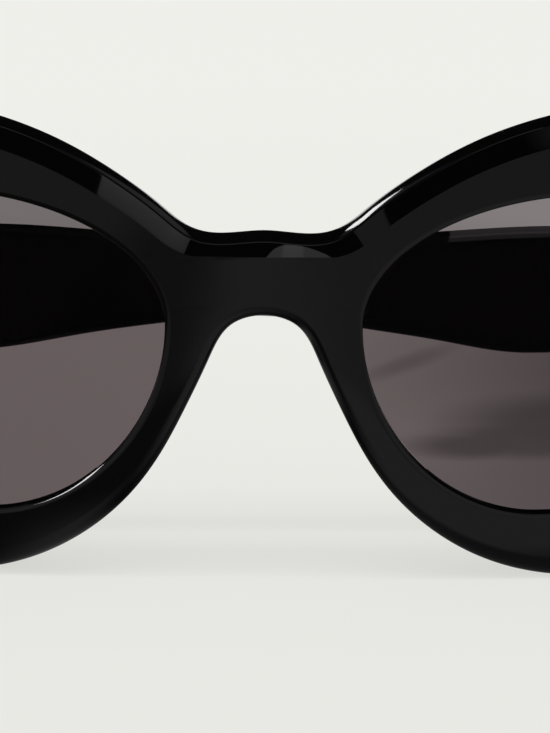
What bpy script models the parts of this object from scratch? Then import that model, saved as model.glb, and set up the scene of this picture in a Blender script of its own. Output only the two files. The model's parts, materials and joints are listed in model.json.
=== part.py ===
"""Oval sunglasses: a thick glossy front, two tinted lenses and two folding temples.

Frame: X to the wearer's left, Y from the front face back to the temple tips, Z up.
The rims and the temple tips stand on Z = 0. The left temple is folded behind the
front and the right temple is open.
"""
import math

import bmesh
import bpy
import numpy as np
from mathutils import Matrix, Vector

MM = 0.001

# Lens openings
LENS_WIDTH = 50.0 * MM
LENS_HEIGHT = 33.0 * MM
LENS_GAP = 20.0 * MM
NOSE_HEIGHT_SHARE = 0.592
LOW_POINT_SHARE = 0.365
TOP_POINT_SHARE = 0.466
LOWER_FULLNESS = 1.96
OUTER_LOWER_FULLNESS = 2.3
UPPER_FULLNESS = 2.0

# Rim widths, seen from the front
RIM_BROW = 4.9 * MM
RIM_TOP = 7.6 * MM
RIM_OUTER = 6.8 * MM
RIM_LOW = 6.95 * MM
RIM_NOSE = 3.45 * MM
BROW_WIDTH_SHARES = ((156.0, 1.176), (147.0, 1.03), (134.8, 1.05))
TOP_WIDTH_SHARES = ((119.0, 0.784), (103.5, 0.926), (84.0, 1.07), (63.0, 1.04), (46.0, 1.04), (32.0, 1.09))
OUTER_WIDTH_SHARES = ((337.0, 1.25), (321.0, 1.11), (304.0, 1.07))
LOW_WIDTH_SHARES = ((288.0, 1.0), (275.0, 0.991), (259.5, 0.825), (244.0, 0.697))
NOSE_WIDTH_SHARES = ((226.0, 1.17), (213.0, 1.057), (202.0, 1.069), (188.0, 1.368))

# Bridge, between the two rims
BRIDGE_HEIGHT = 7.5 * MM
BRIDGE_TOP_OVER_NOSE = 8.76 * MM
BRIDGE_FLAT = 6.3 * MM
BRIDGE_DIP = 0.14 * MM
ARCH_HALF_WIDTH = 3.3 * MM
ARCH_SHOULDER = 1.0 * MM

# End pieces, which carry the hinges
END_REACH = 13.2 * MM
END_ABOVE_HINGE = 10.7 * MM
END_BELOW_HINGE = 9.4 * MM
END_SHARES = ((0.5, 1.0), (0.81, 0.67), (0.975, 0.29), (1.0, -0.14), (0.9, -0.57), (0.66, -1.0))

# Thickness and curve of the front, and its worked edges
FRONT_CURVE_RADIUS = 260.0 * MM
RIM_THICKNESS = 8.4 * MM
BRIDGE_THICKNESS = 8.3 * MM
END_SPARE = 0.3 * MM
BROW_BEVEL = 1.95 * MM
BRIDGE_BEVEL = 1.3 * MM
LOW_ROUND = 2.2 * MM
SIDE_ROUND = 1.2 * MM
BACK_ROUND = 0.8 * MM
INNER_CHAMFER = 0.3 * MM
REAR_FLARE = 1.6 * MM
FLARE_TURN_SHARES = (0.1, 0.8)
BEVEL_FULLNESS = 1.12
ROUND_FULLNESS = 2.0
REST_FLAT_DEPTH = 0.12 * MM
RING_CENTRE_SHARE = 0.35
EDGE_TURN_SHARES = (-0.1, 0.5)

# Lenses and their groove
LENS_RECESS = 0.9 * MM
LENS_THICKNESS = 2.0 * MM
LENS_DOME = 0.8 * MM
LENS_CLEARANCE = 0.12 * MM
GROOVE_DEPTH = 0.9 * MM
GROOVE_WIDTH = 1.5 * MM
LENS_BEVEL_HEIGHT = 0.7 * MM
LENS_BEVEL_WIDTH = 1.1 * MM

# Glued nose pads
PAD_LENGTH = 13.0 * MM
PAD_WIDTH = 3.1 * MM
PAD_HEIGHT = 3.8 * MM
PAD_ANGLE = 199.0
PAD_GAP = 0.1 * MM
PAD_LEAN_SHARE = 0.28
PAD_PLACE_SHARE = 0.56
PAD_ROUND_POWER = 0.6

# Five-barrel hinges
HINGE_FROM_LENS = 6.0 * MM
HINGE_BELOW_NOSE = 0.3 * MM
MITRE_DEPTH = 15.8 * MM
BARREL_RADIUS = 1.6 * MM
BARREL_COUNT = 5
BARREL_STACK = 8.0 * MM
BARREL_GAP = 0.06 * MM
FRONT_BARREL_TURNS = (-75.0, 180.0)
TEMPLE_BARREL_TURNS = (90.0, 370.0)
WEB_START = 0.6 * MM
HINGE_CLEARANCE = 0.3 * MM
LEAF_THICKNESS = 1.2 * MM
LEAF_SEAT_GAP = 0.1 * MM
FRONT_LEAF_REACH = 5.0 * MM
FRONT_LEAF_OVERLAP = 0.4 * MM
TEMPLE_LEAF_START = 0.3 * MM
TEMPLE_LEAF_END = 10.5 * MM
SCREW_RADIUS = 0.7 * MM
SCREW_CLEARANCE = 0.05 * MM
SCREW_HEAD_RADIUS = 1.4 * MM
SCREW_HEAD_HEIGHT = 0.7 * MM
SCREW_SLOT_WIDTH = 0.4 * MM
SCREW_SLOT_DEPTH = 0.35 * MM

# Rivets that hold the hinge leaves
RIVET_RADIUS = 0.75 * MM
RIVET_CLEARANCE = 0.08 * MM
RIVET_HEAD_RADIUS = 1.2 * MM
RIVET_HEAD_HEIGHT = 0.35 * MM
RIVET_HEAD_GAP = 0.03 * MM
FRONT_RIVET_INSET = 3.2 * MM
FRONT_RIVET_SPREAD = 2.3 * MM
TEMPLE_RIVET_FIRST = 3.4 * MM
TEMPLE_RIVET_SECOND = 7.8 * MM

# Temples
BEND_FROM_FAR_HINGE = 35.0 * MM
EAR_BEND_RADIUS = 27.0 * MM
EAR_BEND_ANGLE = 38.0
TEMPLE_HEIGHT = 12.2 * MM
UPPER_EDGE_SHARES = ((0.0, 0.985), (0.2, 1.01), (0.39, 1.06), (0.49, 0.965), (0.61, 0.86), (0.75, 0.86),
                     (0.87, 0.99), (0.97, 1.08), (1.05, 1.05))
LOWER_EDGE_SHARES = ((0.0, 0.87), (0.2, 0.97), (0.38, 1.06), (0.405, 1.06), (0.49, 0.852), (0.566, 0.66),
                     (0.68, 0.48), (0.79, 0.555), (0.88, 0.765), (0.967, 1.0), (1.05, 1.03))
TIP_HEIGHT_SHARE = 0.96
TEMPLE_THICKNESS = 5.0 * MM
TIP_THICKNESS = 4.6 * MM
TEMPLE_EDGE_ROUND = 1.1 * MM
CORNER_LIMIT_SHARE = 0.9
FOLD_ANGLE = 91.5

# Core wires inside the temples
WIRE_RADIUS = 0.7 * MM
WIRE_CLEARANCE = 0.1 * MM
WIRE_DEPTH = 1.4 * MM
WIRE_TIP_MARGIN = 12.0 * MM

# One overrun for every cutter, and the distance below which points are one
OVERRUN = 1.0 * MM
WELD_DISTANCE = 0.0001 * MM

# Fineness of the curves and meshes
TURN_STEP = 0.25
CURVE_STEPS = 40
OUTLINE_COUNT = 74
CUT_COUNT = 4
LENS_COUNT = 48
LENS_RINGS = 3
TEMPLE_SPAN_STEPS = 2
TEMPLE_BEND_STEPS = 9
WIRE_STEPS = 30
ROUND_STEPS = 3
BARREL_SIDES = 20
RIVET_SIDES = 14
WIRE_SIDES = 8

NOSE_X = LENS_GAP / 2
OUTER_X = NOSE_X + LENS_WIDTH
LOW_X = NOSE_X + LENS_WIDTH * LOW_POINT_SHARE
TOP_X = NOSE_X + LENS_WIDTH * TOP_POINT_SHARE
LENS_LOW = RIM_LOW
LENS_TOP = LENS_LOW + LENS_HEIGHT
NOSE_Z = LENS_LOW + LENS_HEIGHT * NOSE_HEIGHT_SHARE
HINGE_X = OUTER_X + HINGE_FROM_LENS
HINGE_Z = NOSE_Z - HINGE_BELOW_NOSE
HINGE_Y = MITRE_DEPTH + BARREL_RADIUS + HINGE_CLEARANCE
TEMPLE_INNER = BARREL_RADIUS + HINGE_CLEARANCE
TEMPLE_STRAIGHT = HINGE_X * 2 - BEND_FROM_FAR_HINGE
END_THICKNESS = MITRE_DEPTH + END_SPARE - OUTER_X * OUTER_X / (2.0 * FRONT_CURVE_RADIUS)
BRIDGE_TOP = NOSE_Z + BRIDGE_TOP_OVER_NOSE
BRIDGE_LOW = BRIDGE_TOP - BRIDGE_HEIGHT


def clear_scene():
    for item in list(bpy.data.objects):
        bpy.data.objects.remove(item, do_unlink=True)


def material(name, color, roughness, metallic=0.0, alpha=1.0):
    found = bpy.data.materials.get(name)
    if found:
        return found
    made = bpy.data.materials.new(name)
    made.use_nodes = True
    shader = made.node_tree.nodes["Principled BSDF"]
    shader.inputs["Base Color"].default_value = (*color, 1.0)
    shader.inputs["Roughness"].default_value = roughness
    shader.inputs["Metallic"].default_value = metallic
    shader.inputs["Alpha"].default_value = alpha
    return made


def acetate():
    return material("black_acetate", (0.006, 0.006, 0.007), 0.08)


def tint():
    return material("smoke_lens", (0.12, 0.11, 0.115), 0.03, alpha=0.45)


def steel():
    return material("hinge_metal", (0.62, 0.6, 0.57), 0.25, metallic=1.0)


def mesh_object(name, bm, finish, parent=None, smooth_angle=30.0):
    bm.normal_update()
    bmesh.ops.recalc_face_normals(bm, faces=bm.faces)
    mesh = bpy.data.meshes.new(name)
    bm.to_mesh(mesh)
    bm.free()
    mesh.shade_smooth()
    mesh.set_sharp_from_angle(angle=math.radians(smooth_angle))
    made = bpy.data.objects.new(name, mesh)
    bpy.context.collection.objects.link(made)
    mesh.materials.append(finish)
    made.parent = parent
    return made


def combine(target, tool, operation):
    """Apply one exact Boolean to the target, in its own coordinates, and drop the tool."""
    tool.parent = target.parent
    modifier = target.modifiers.new(operation.lower(), "BOOLEAN")
    modifier.operation = operation
    modifier.solver = "EXACT"
    modifier.object = tool
    bpy.context.view_layer.update()
    shaped = target.evaluated_get(bpy.context.evaluated_depsgraph_get())
    result = bpy.data.meshes.new_from_object(shaped)
    old = target.data
    target.modifiers.clear()
    target.data = result
    bpy.data.meshes.remove(old)
    bpy.data.objects.remove(tool, do_unlink=True)


def grid_faces(bm, rows, closed_rows=True, closed_columns=True):
    """Join rows of vertices, where None marks a vertex that isn't there."""
    last_row = len(rows) if closed_rows else len(rows) - 1
    for i in range(last_row):
        row, other = rows[i], rows[(i + 1) % len(rows)]
        last = len(row) if closed_columns else len(row) - 1
        for j in range(last):
            k = (j + 1) % len(row)
            corners = (row[j], row[k], other[k], other[j])
            if all(corners):
                bm.faces.new(corners)


def box(bm, low, high):
    size = Vector(high) - Vector(low)
    centre = (Vector(high) + Vector(low)) / 2
    matrix = Matrix.Translation(centre) @ Matrix.Diagonal((*size, 1.0))
    return bmesh.ops.create_cube(bm, size=1.0, matrix=matrix)["verts"]


def rod(bm, start, end, radius, sides):
    """A closed cylinder between two points."""
    start, end = Vector(start), Vector(end)
    way = end - start
    turn = way.to_track_quat("Z", "Y").to_matrix().to_4x4()
    matrix = Matrix.Translation((start + end) / 2) @ turn
    made = bmesh.ops.create_cone(bm, cap_ends=True, segments=sides, radius1=radius,
                                 radius2=radius, depth=way.length, matrix=matrix)
    return made["verts"]


def tool_object(build):
    """A cutter made by a function that fills an empty mesh."""
    bm = bmesh.new()
    build(bm)
    made = mesh_object("tool", bm, steel())
    made.hide_render = True
    made.display_type = "WIRE"
    return made


def smoothstep(value, low, high):
    share = min(1.0, max(0.0, (value - low) / (high - low)))
    return share * share * (3.0 - 2.0 * share)


def blend(first, second, share):
    return first + (second - first) * share


def smooth_through(knots, first_way, last_way):
    """A curve with continuous curvature through the knots, dense points on it."""
    knots = np.array(knots)
    spans = np.linalg.norm(np.diff(knots, axis=0), axis=1)
    count = len(knots)
    matrix = np.zeros((count, count))
    wanted = np.zeros((count, 2))
    matrix[0, 0] = matrix[-1, -1] = 1.0
    wanted[0], wanted[-1] = first_way, last_way
    for i in range(1, count - 1):
        before, after = spans[i - 1], spans[i]
        matrix[i, i - 1] = after
        matrix[i, i] = 2.0 * (before + after)
        matrix[i, i + 1] = before
        wanted[i] = 3.0 * (after / before * (knots[i] - knots[i - 1])
                           + before / after * (knots[i + 1] - knots[i]))
    tangents = np.linalg.solve(matrix, wanted)
    points = []
    for i in range(count - 1):
        for step in range(CURVE_STEPS):
            t = step / CURVE_STEPS
            points.append((2 * t**3 - 3 * t**2 + 1) * knots[i]
                          + (t**3 - 2 * t**2 + t) * spans[i] * tangents[i]
                          + (3 * t**2 - 2 * t**3) * knots[i + 1]
                          + (t**3 - t**2) * spans[i] * tangents[i + 1])
    points.append(knots[-1])
    return np.array(points)


def evenly(points, count):
    """The same open curve with its points at equal steps."""
    steps = np.linalg.norm(np.diff(points, axis=0), axis=1)
    along = np.concatenate(([0.0], np.cumsum(steps)))
    places = np.linspace(0.0, along[-1], count)
    return np.stack([np.interp(places, along, points[:, k]) for k in range(2)], axis=1)


def opening_point(degrees):
    """Lens opening: four quarter ovals, 0 at the outer side, 90 at the top, 180 at the nose."""
    across, up = math.cos(math.radians(degrees)), math.sin(math.radians(degrees))
    upper = up >= 0.0
    centre_x = TOP_X if upper else LOW_X
    reach_x = OUTER_X - centre_x if across >= 0.0 else centre_x - NOSE_X
    reach_z = LENS_TOP - NOSE_Z if upper else NOSE_Z - LENS_LOW
    lower_fullness = OUTER_LOWER_FULLNESS if across >= 0.0 else LOWER_FULLNESS
    power = 2.0 / (UPPER_FULLNESS if upper else lower_fullness)
    return np.array((centre_x + math.copysign(abs(across) ** power, across) * reach_x,
                     NOSE_Z + math.copysign(abs(up) ** power, up) * reach_z))


def opening_normal(degrees):
    way = opening_point(degrees + TURN_STEP) - opening_point(degrees - TURN_STEP)
    return np.array((way[1], -way[0])) / np.linalg.norm(way)


def rim_knots(shares, width):
    return [opening_point(a) + opening_normal(a) * width * share for a, share in shares]


def outline_knots():
    """Right half of the front's outline, from the bridge top over the brow to the nose arch."""
    knots = [np.array((0.0, BRIDGE_TOP)), np.array((BRIDGE_FLAT, BRIDGE_TOP - BRIDGE_DIP))]
    knots += rim_knots(BROW_WIDTH_SHARES, RIM_BROW)
    knots += rim_knots(TOP_WIDTH_SHARES, RIM_TOP)
    for across, up in END_SHARES:
        height = END_ABOVE_HINGE if up > 0.0 else END_BELOW_HINGE
        knots.append(np.array((OUTER_X + END_REACH * across, HINGE_Z + height * up)))
    knots += rim_knots(OUTER_WIDTH_SHARES, RIM_OUTER)
    knots += rim_knots(LOW_WIDTH_SHARES, RIM_LOW)
    knots += rim_knots(NOSE_WIDTH_SHARES, RIM_NOSE)
    knots.append(np.array((ARCH_HALF_WIDTH, BRIDGE_LOW - ARCH_SHOULDER)))
    knots.append(np.array((0.0, BRIDGE_LOW)))
    return knots


def outline_points(count):
    """Outline points with their outward normals."""
    dense = smooth_through(outline_knots(), (1.0, 0.0), (-1.0, 0.0))
    dense[:, 1] -= dense[:, 1].min() + REST_FLAT_DEPTH
    points = evenly(dense, count)
    ways = np.gradient(points, axis=0)
    ways[0], ways[-1] = (1.0, 0.0), (-1.0, 0.0)
    ways /= np.linalg.norm(ways, axis=1)[:, None]
    normals = np.stack([-ways[:, 1], ways[:, 0]], axis=1)
    return points, normals


def front_depth(x):
    return x * x / (2.0 * FRONT_CURVE_RADIUS)


def thickness(x):
    near_bridge = smoothstep(abs(x), BRIDGE_FLAT, NOSE_X)
    near_end = smoothstep(abs(x), TOP_X + LENS_WIDTH * LOW_POINT_SHARE, OUTER_X)
    rim = blend(BRIDGE_THICKNESS, RIM_THICKNESS, near_bridge)
    return blend(rim, END_THICKNESS, near_end)


def edge_size(x, normal):
    """Width of the front edge's bevel or rounding at a place on the outline."""
    at_bridge = 1.0 - smoothstep(abs(x), BRIDGE_FLAT, NOSE_X)
    upper = blend(BROW_BEVEL, BRIDGE_BEVEL, at_bridge)
    lower = blend(LOW_ROUND, SIDE_ROUND, at_bridge)
    vertical = upper if normal[1] > 0.0 else lower
    return blend(SIDE_ROUND, vertical, normal[1] ** 2)


def edge_fullness(normal):
    return blend(ROUND_FULLNESS, BEVEL_FULLNESS, smoothstep(normal[1], *EDGE_TURN_SHARES))


def front_edge(size, fullness, steps):
    """Inset and depth pairs from the front face round to the outer wall."""
    power = 2.0 / fullness
    pairs = []
    for step in range(steps + 1):
        turn = math.pi / 2 * step / steps
        inset = size * (1.0 - math.sin(turn) ** power)
        depth = size * (1.0 - abs(math.cos(turn)) ** power) if step < steps else size
        pairs.append((inset, depth))
    return pairs


def ring_centre():
    """A point from which every ray meets the half front's boundary once."""
    return np.array(((NOSE_X + OUTER_X) / 2, BRIDGE_LOW + BRIDGE_HEIGHT * RING_CENTRE_SHARE))


def opening_at(angles):
    """Points and normals of the lens opening on rays from the ring centre."""
    turns = np.arange(0.0, 360.0, TURN_STEP)
    dense = np.array([opening_point(a) for a in turns])
    normals = np.array([opening_normal(a) for a in turns])
    rays = dense - ring_centre()
    bearing = np.unwrap(np.arctan2(rays[:, 1], rays[:, 0]))
    reach = np.concatenate((bearing - 2 * math.pi, bearing, bearing + 2 * math.pi))
    columns = [np.interp(angles, reach, np.tile(c, 3)) for c in (*dense.T, *normals.T)]
    return np.stack(columns[:2], axis=1), np.stack(columns[2:], axis=1)


def place(point, depth):
    """From the front view's X and Z and a depth behind the front face to a 3D point."""
    return (point[0], front_depth(point[0]) + depth, max(point[1], 0.0))


def inner_section(x, normal):
    """Offset and depth pairs round the opening's wall, back to front, with the lens groove."""
    back = thickness(x)
    middle = LENS_RECESS + LENS_THICKNESS / 2
    flare = REAR_FLARE * smoothstep(-normal[1], *FLARE_TURN_SHARES)
    return [(flare + INNER_CHAMFER, back), (flare, back - INNER_CHAMFER), (0.0, middle + GROOVE_WIDTH / 2),
            (GROOVE_DEPTH, middle), (0.0, middle - GROOVE_WIDTH / 2), (0.0, INNER_CHAMFER),
            (INNER_CHAMFER, 0.0)]


def half_front(bm):
    points, normals = outline_points(OUTLINE_COUNT)
    edge_top = front_edge(edge_size(0.0, normals[0]), edge_fullness(normals[0]), ROUND_STEPS)
    edge_low = front_edge(edge_size(0.0, normals[-1]), edge_fullness(normals[-1]), ROUND_STEPS)
    top_z, low_z = points[0][1], points[-1][1]
    boundary = [(p, n, None) for p, n in zip(points, normals)]
    for step in range(1, CUT_COUNT + 1):
        share = step / (CUT_COUNT + 1)
        boundary.append((np.array((0.0, blend(low_z, top_z, share))), None, share))
    rays = np.array([p for p, _, _ in boundary]) - ring_centre()
    inner, inner_normals = opening_at(np.arctan2(rays[:, 1], rays[:, 0]))
    rows = []
    for (point, normal, share), hole, hole_normal in zip(boundary, inner, inner_normals):
        section = [place(hole + hole_normal * off, deep)
                   for off, deep in inner_section(hole[0], hole_normal)]
        if share is None:
            pairs = front_edge(edge_size(point[0], normal), edge_fullness(normal), ROUND_STEPS)
            wall = [place(point - normal * inset, deep) for inset, deep in pairs]
            back = thickness(point[0])
            for step in range(ROUND_STEPS):
                turn = math.pi / 2 * step / (ROUND_STEPS - 1)
                inset = BACK_ROUND * (1.0 - math.cos(turn))
                deep = back - BACK_ROUND * (1.0 - math.sin(turn))
                wall.append(place(point - normal * inset, deep))
        else:
            front_z = blend(low_z + edge_low[0][0], top_z - edge_top[0][0], share)
            back_z = blend(low_z + BACK_ROUND, top_z - BACK_ROUND, share)
            wall = [place((0.0, front_z), 0.0)]
            wall += [None] * (ROUND_STEPS + ROUND_STEPS - 1)
            wall.append(place((0.0, back_z), thickness(0.0)))
        middle_front = (np.array(section[-1]) + np.array(wall[0])) / 2
        middle_front[1] = front_depth(middle_front[0])
        middle_back = (np.array(section[0]) + np.array(wall[-1])) / 2
        middle_back[1] = front_depth(middle_back[0]) + thickness(middle_back[0])
        row = section + [middle_front] + wall + [middle_back]
        rows.append([None if at is None else bm.verts.new(at) for at in row])
    grid_faces(bm, rows)


def build_front():
    bm = bmesh.new()
    half_front(bm)
    bmesh.ops.recalc_face_normals(bm, faces=bm.faces)
    copied = bmesh.ops.duplicate(bm, geom=bm.verts[:] + bm.edges[:] + bm.faces[:])["geom"]
    verts = [item for item in copied if isinstance(item, bmesh.types.BMVert)]
    faces = [item for item in copied if isinstance(item, bmesh.types.BMFace)]
    for vert in verts:
        vert.co.x = -vert.co.x
    bmesh.ops.reverse_faces(bm, faces=faces)
    bmesh.ops.remove_doubles(bm, verts=bm.verts, dist=WELD_DISTANCE)
    front = mesh_object("front_frame", bm, acetate())
    for side in (1.0, -1.0):
        combine(front, tool_object(lambda b: cut_end_piece(b, side)), "DIFFERENCE")
        combine(front, tool_object(lambda b: cut_leaf_pocket(b, side)), "DIFFERENCE")
        for level in (1.0, -1.0):
            combine(front, tool_object(lambda b: cut_front_rivet(b, side, level)), "DIFFERENCE")
    return front


def hinge_point(side, x, y, z):
    """From hinge coordinates, X outward from the axis, to the front's coordinates."""
    return (side * (HINGE_X + x), HINGE_Y + y, HINGE_Z + z)


def hinge_box(bm, side, low, high):
    start, end = hinge_point(side, *low), hinge_point(side, *high)
    return box(bm, [min(a, b) for a, b in zip(start, end)], [max(a, b) for a, b in zip(start, end)])


def cut_end_piece(bm, side):
    """The flat mitre at the back of the end piece, which the temple closes on."""
    hinge_box(bm, side, (-HINGE_FROM_LENS, -TEMPLE_INNER, -LENS_HEIGHT / 2),
              (END_REACH, END_THICKNESS, LENS_HEIGHT / 2))


def front_leaf_box(grow):
    low = (-FRONT_LEAF_REACH - grow, -TEMPLE_INNER - LEAF_THICKNESS - grow, -BARREL_STACK / 2 - grow)
    high = (FRONT_LEAF_OVERLAP + grow, -TEMPLE_INNER, BARREL_STACK / 2 + grow)
    return low, high


def cut_leaf_pocket(bm, side):
    low, high = front_leaf_box(LEAF_SEAT_GAP)
    hinge_box(bm, side, low, (high[0], high[1] + OVERRUN, high[2]))


def cut_front_rivet(bm, side, level):
    x, z = -FRONT_RIVET_INSET, level * FRONT_RIVET_SPREAD
    rod(bm, hinge_point(side, x, -HINGE_Y, z), hinge_point(side, x, 0.0, z),
        RIVET_RADIUS + RIVET_CLEARANCE, RIVET_SIDES)


def build_lens(name, side):
    bm = bmesh.new()
    turns = np.linspace(0.0, 2 * math.pi, LENS_COUNT, endpoint=False)
    points, normals = opening_at(turns)
    points = points - normals * LENS_CLEARANCE
    centre = ring_centre()
    shoulder = (LENS_THICKNESS - LENS_BEVEL_WIDTH) / 2
    back = LENS_RECESS + LENS_THICKNESS
    edge = ((0.0, LENS_RECESS), (0.0, LENS_RECESS + shoulder),
            (LENS_BEVEL_HEIGHT, LENS_RECESS + LENS_THICKNESS / 2), (0.0, back - shoulder), (0.0, back))
    rows = []
    for point, normal in zip(points, normals):
        section = []
        for ring in range(1, LENS_RINGS):
            share = ring / LENS_RINGS
            dome = LENS_DOME * (1.0 - share * share)
            section.append((centre + (point - centre) * share, LENS_RECESS - dome))
        section += [(point + normal * off, deep) for off, deep in edge]
        for ring in range(LENS_RINGS - 1, 0, -1):
            share = ring / LENS_RINGS
            dome = LENS_DOME * (1.0 - share * share)
            section.append((centre + (point - centre) * share, back - dome))
        rows.append([bm.verts.new(place(p, deep)) for p, deep in section])
    grid_faces(bm, rows, closed_columns=False)
    for column, deep in ((0, LENS_RECESS - LENS_DOME), (-1, back - LENS_DOME)):
        middle = bm.verts.new(place(centre, deep))
        for i, row in enumerate(rows):
            bm.faces.new((row[column], rows[(i + 1) % len(rows)][column], middle))
    bmesh.ops.scale(bm, vec=(side, 1.0, 1.0), verts=bm.verts)
    return mesh_object(name, bm, tint())


def build_nose_pad(name, side):
    """A drop-shaped pad on the back of the rim, leaning towards the nose."""
    bm = bmesh.new()
    start, normal = opening_point(PAD_ANGLE), opening_normal(PAD_ANGLE)
    along = np.array((normal[1], -normal[0]))
    centre = start + normal * RIM_NOSE * PAD_PLACE_SHARE
    base = RIM_THICKNESS + PAD_GAP
    rows = []
    for level in range(ROUND_STEPS + 2):
        rise = math.sin(math.pi / 2 * level / (ROUND_STEPS + 2))
        spread = math.cos(math.pi / 2 * level / (ROUND_STEPS + 2)) ** PAD_ROUND_POWER
        row = []
        for step in range(RIVET_SIDES * 2):
            turn = math.pi * step / RIVET_SIDES
            point = (centre + along * math.cos(turn) * PAD_LENGTH / 2 * spread
                     + normal * math.sin(turn) * PAD_WIDTH / 2 * spread
                     + normal * PAD_WIDTH * PAD_LEAN_SHARE * rise * rise)
            row.append(bm.verts.new(place(point, base + PAD_HEIGHT * rise)))
        rows.append(row)
    grid_faces(bm, rows, closed_rows=False)
    bm.faces.new(rows[0])
    bm.faces.new(rows[-1])
    bmesh.ops.scale(bm, vec=(side, 1.0, 1.0), verts=bm.verts)
    return mesh_object(name, bm, acetate())


def barrel_levels(first):
    """Bottom and top of every other barrel, counted from the given one."""
    pitch = BARREL_STACK / BARREL_COUNT
    for index in range(first, BARREL_COUNT, 2):
        low = -BARREL_STACK / 2 + pitch * index
        yield low + BARREL_GAP / 2, low + pitch - BARREL_GAP / 2


def cut_screw_hole(bm):
    rod(bm, (0.0, 0.0, -BARREL_STACK), (0.0, 0.0, BARREL_STACK), SCREW_RADIUS + SCREW_CLEARANCE,
        BARREL_SIDES)


def local_box(bm, low, high, side):
    verts = box(bm, low, high)
    for vert in verts:
        vert.co.x *= side


def barrel_prism(bm, low, high, turns, corners, side):
    """A barrel with the web that joins it to its leaf, as one extruded outline."""
    outline = []
    for step in range(BARREL_SIDES + 1):
        turn = math.radians(blend(turns[0], turns[1], step / BARREL_SIDES))
        outline.append((BARREL_RADIUS * math.cos(turn), BARREL_RADIUS * math.sin(turn)))
    outline += corners
    rows = [[bm.verts.new((side * x, y, z)) for x, y in outline] for z in (low, high)]
    grid_faces(bm, rows, closed_rows=False)
    bm.faces.new(rows[0])
    bm.faces.new(rows[1])


def add_barrels(leaf, first, turns, corners, side):
    for low, high in barrel_levels(first):
        combine(leaf, tool_object(lambda b: barrel_prism(b, low, high, turns, corners, side)), "UNION")
    combine(leaf, tool_object(cut_screw_hole), "DIFFERENCE")


def build_front_leaf(name, side, axis):
    bm = bmesh.new()
    low, high = front_leaf_box(0.0)
    local_box(bm, low, high, side)
    leaf = mesh_object(name, bm, steel(), axis)
    seat = -TEMPLE_INNER - LEAF_THICKNESS / 2
    corners = [(-BARREL_RADIUS, seat), (FRONT_LEAF_OVERLAP / 2, seat)]
    add_barrels(leaf, 0, FRONT_BARREL_TURNS, corners, side)
    for level in (1.0, -1.0):
        x, z = -side * FRONT_RIVET_INSET, level * FRONT_RIVET_SPREAD
        combine(leaf, tool_object(lambda b: rod(b, (x, -BARREL_STACK, z), (x, 0.0, z),
                                                RIVET_RADIUS + RIVET_CLEARANCE, RIVET_SIDES)),
                "DIFFERENCE")
    return leaf


def temple_leaf_box(grow):
    low = (TEMPLE_INNER, TEMPLE_LEAF_START - grow, -BARREL_STACK / 2 - grow)
    high = (TEMPLE_INNER + LEAF_THICKNESS + grow, TEMPLE_LEAF_END + grow, BARREL_STACK / 2 + grow)
    return low, high


def build_temple_leaf(name, side, axis):
    bm = bmesh.new()
    low, high = temple_leaf_box(0.0)
    local_box(bm, low, high, side)
    leaf = mesh_object(name, bm, steel(), axis)
    seat = TEMPLE_INNER + LEAF_THICKNESS / 2
    corners = [(seat, WEB_START), (seat, BARREL_RADIUS)]
    add_barrels(leaf, 1, TEMPLE_BARREL_TURNS, corners, side)
    for along in (TEMPLE_RIVET_FIRST, TEMPLE_RIVET_SECOND):
        outer = side * (high[0] + OVERRUN)
        combine(leaf, tool_object(lambda b: rod(b, (0.0, along, 0.0), (outer, along, 0.0),
                                                RIVET_RADIUS + RIVET_CLEARANCE, RIVET_SIDES)),
                "DIFFERENCE")
    return leaf


def build_screw(name, axis):
    bm = bmesh.new()
    under = BARREL_STACK / 2
    top = under + SCREW_HEAD_HEIGHT
    rod(bm, (0.0, 0.0, -under), (0.0, 0.0, under + SCREW_HEAD_HEIGHT / 2), SCREW_RADIUS, BARREL_SIDES)
    screw = mesh_object(name, bm, steel(), axis)
    combine(screw, tool_object(lambda b: rod(b, (0.0, 0.0, under), (0.0, 0.0, top),
                                             SCREW_HEAD_RADIUS, BARREL_SIDES)), "UNION")
    low = (-BARREL_RADIUS, -SCREW_SLOT_WIDTH / 2, top - SCREW_SLOT_DEPTH)
    high = (BARREL_RADIUS, SCREW_SLOT_WIDTH / 2, top + OVERRUN)
    combine(screw, tool_object(lambda b: box(b, low, high)), "DIFFERENCE")
    return screw


def build_front_rivet(name, side, level):
    """Its front end is filed flush with the curved front face."""
    bm = bmesh.new()
    x, z = -FRONT_RIVET_INSET, level * FRONT_RIVET_SPREAD
    verts = rod(bm, hinge_point(side, x, -HINGE_Y, z), hinge_point(side, x, -TEMPLE_INNER, z),
                RIVET_RADIUS, RIVET_SIDES)
    for vert in verts:
        if vert.co.y < MITRE_DEPTH / 2:
            vert.co.y = front_depth(vert.co.x)
        else:
            vert.co.y += RIVET_HEAD_GAP + RIVET_HEAD_HEIGHT / 2
    rivet = mesh_object(name, bm, steel())
    head = -TEMPLE_INNER + RIVET_HEAD_GAP
    combine(rivet, tool_object(lambda b: rod(b, hinge_point(side, x, head, z),
                                             hinge_point(side, x, head + RIVET_HEAD_HEIGHT, z),
                                             RIVET_HEAD_RADIUS, RIVET_SIDES)), "UNION")
    return rivet


def temple_edges(along):
    """Upper and lower edge over the hinge line, smooth runs through the hand-set shares."""
    edges = []
    for shares, side in ((UPPER_EDGE_SHARES, 1.0), (LOWER_EDGE_SHARES, -1.0)):
        knots = [(at * TEMPLE_STRAIGHT, side * share * TEMPLE_HEIGHT / 2) for at, share in shares]
        knots.append((temple_length(), side * TIP_HEIGHT_SHARE * TEMPLE_HEIGHT / 2))
        curve = smooth_through(knots, (1.0, 0.0), (1.0, 0.0))
        edges.append(float(np.interp(along, curve[:, 0], curve[:, 1])))
    return edges


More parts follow.
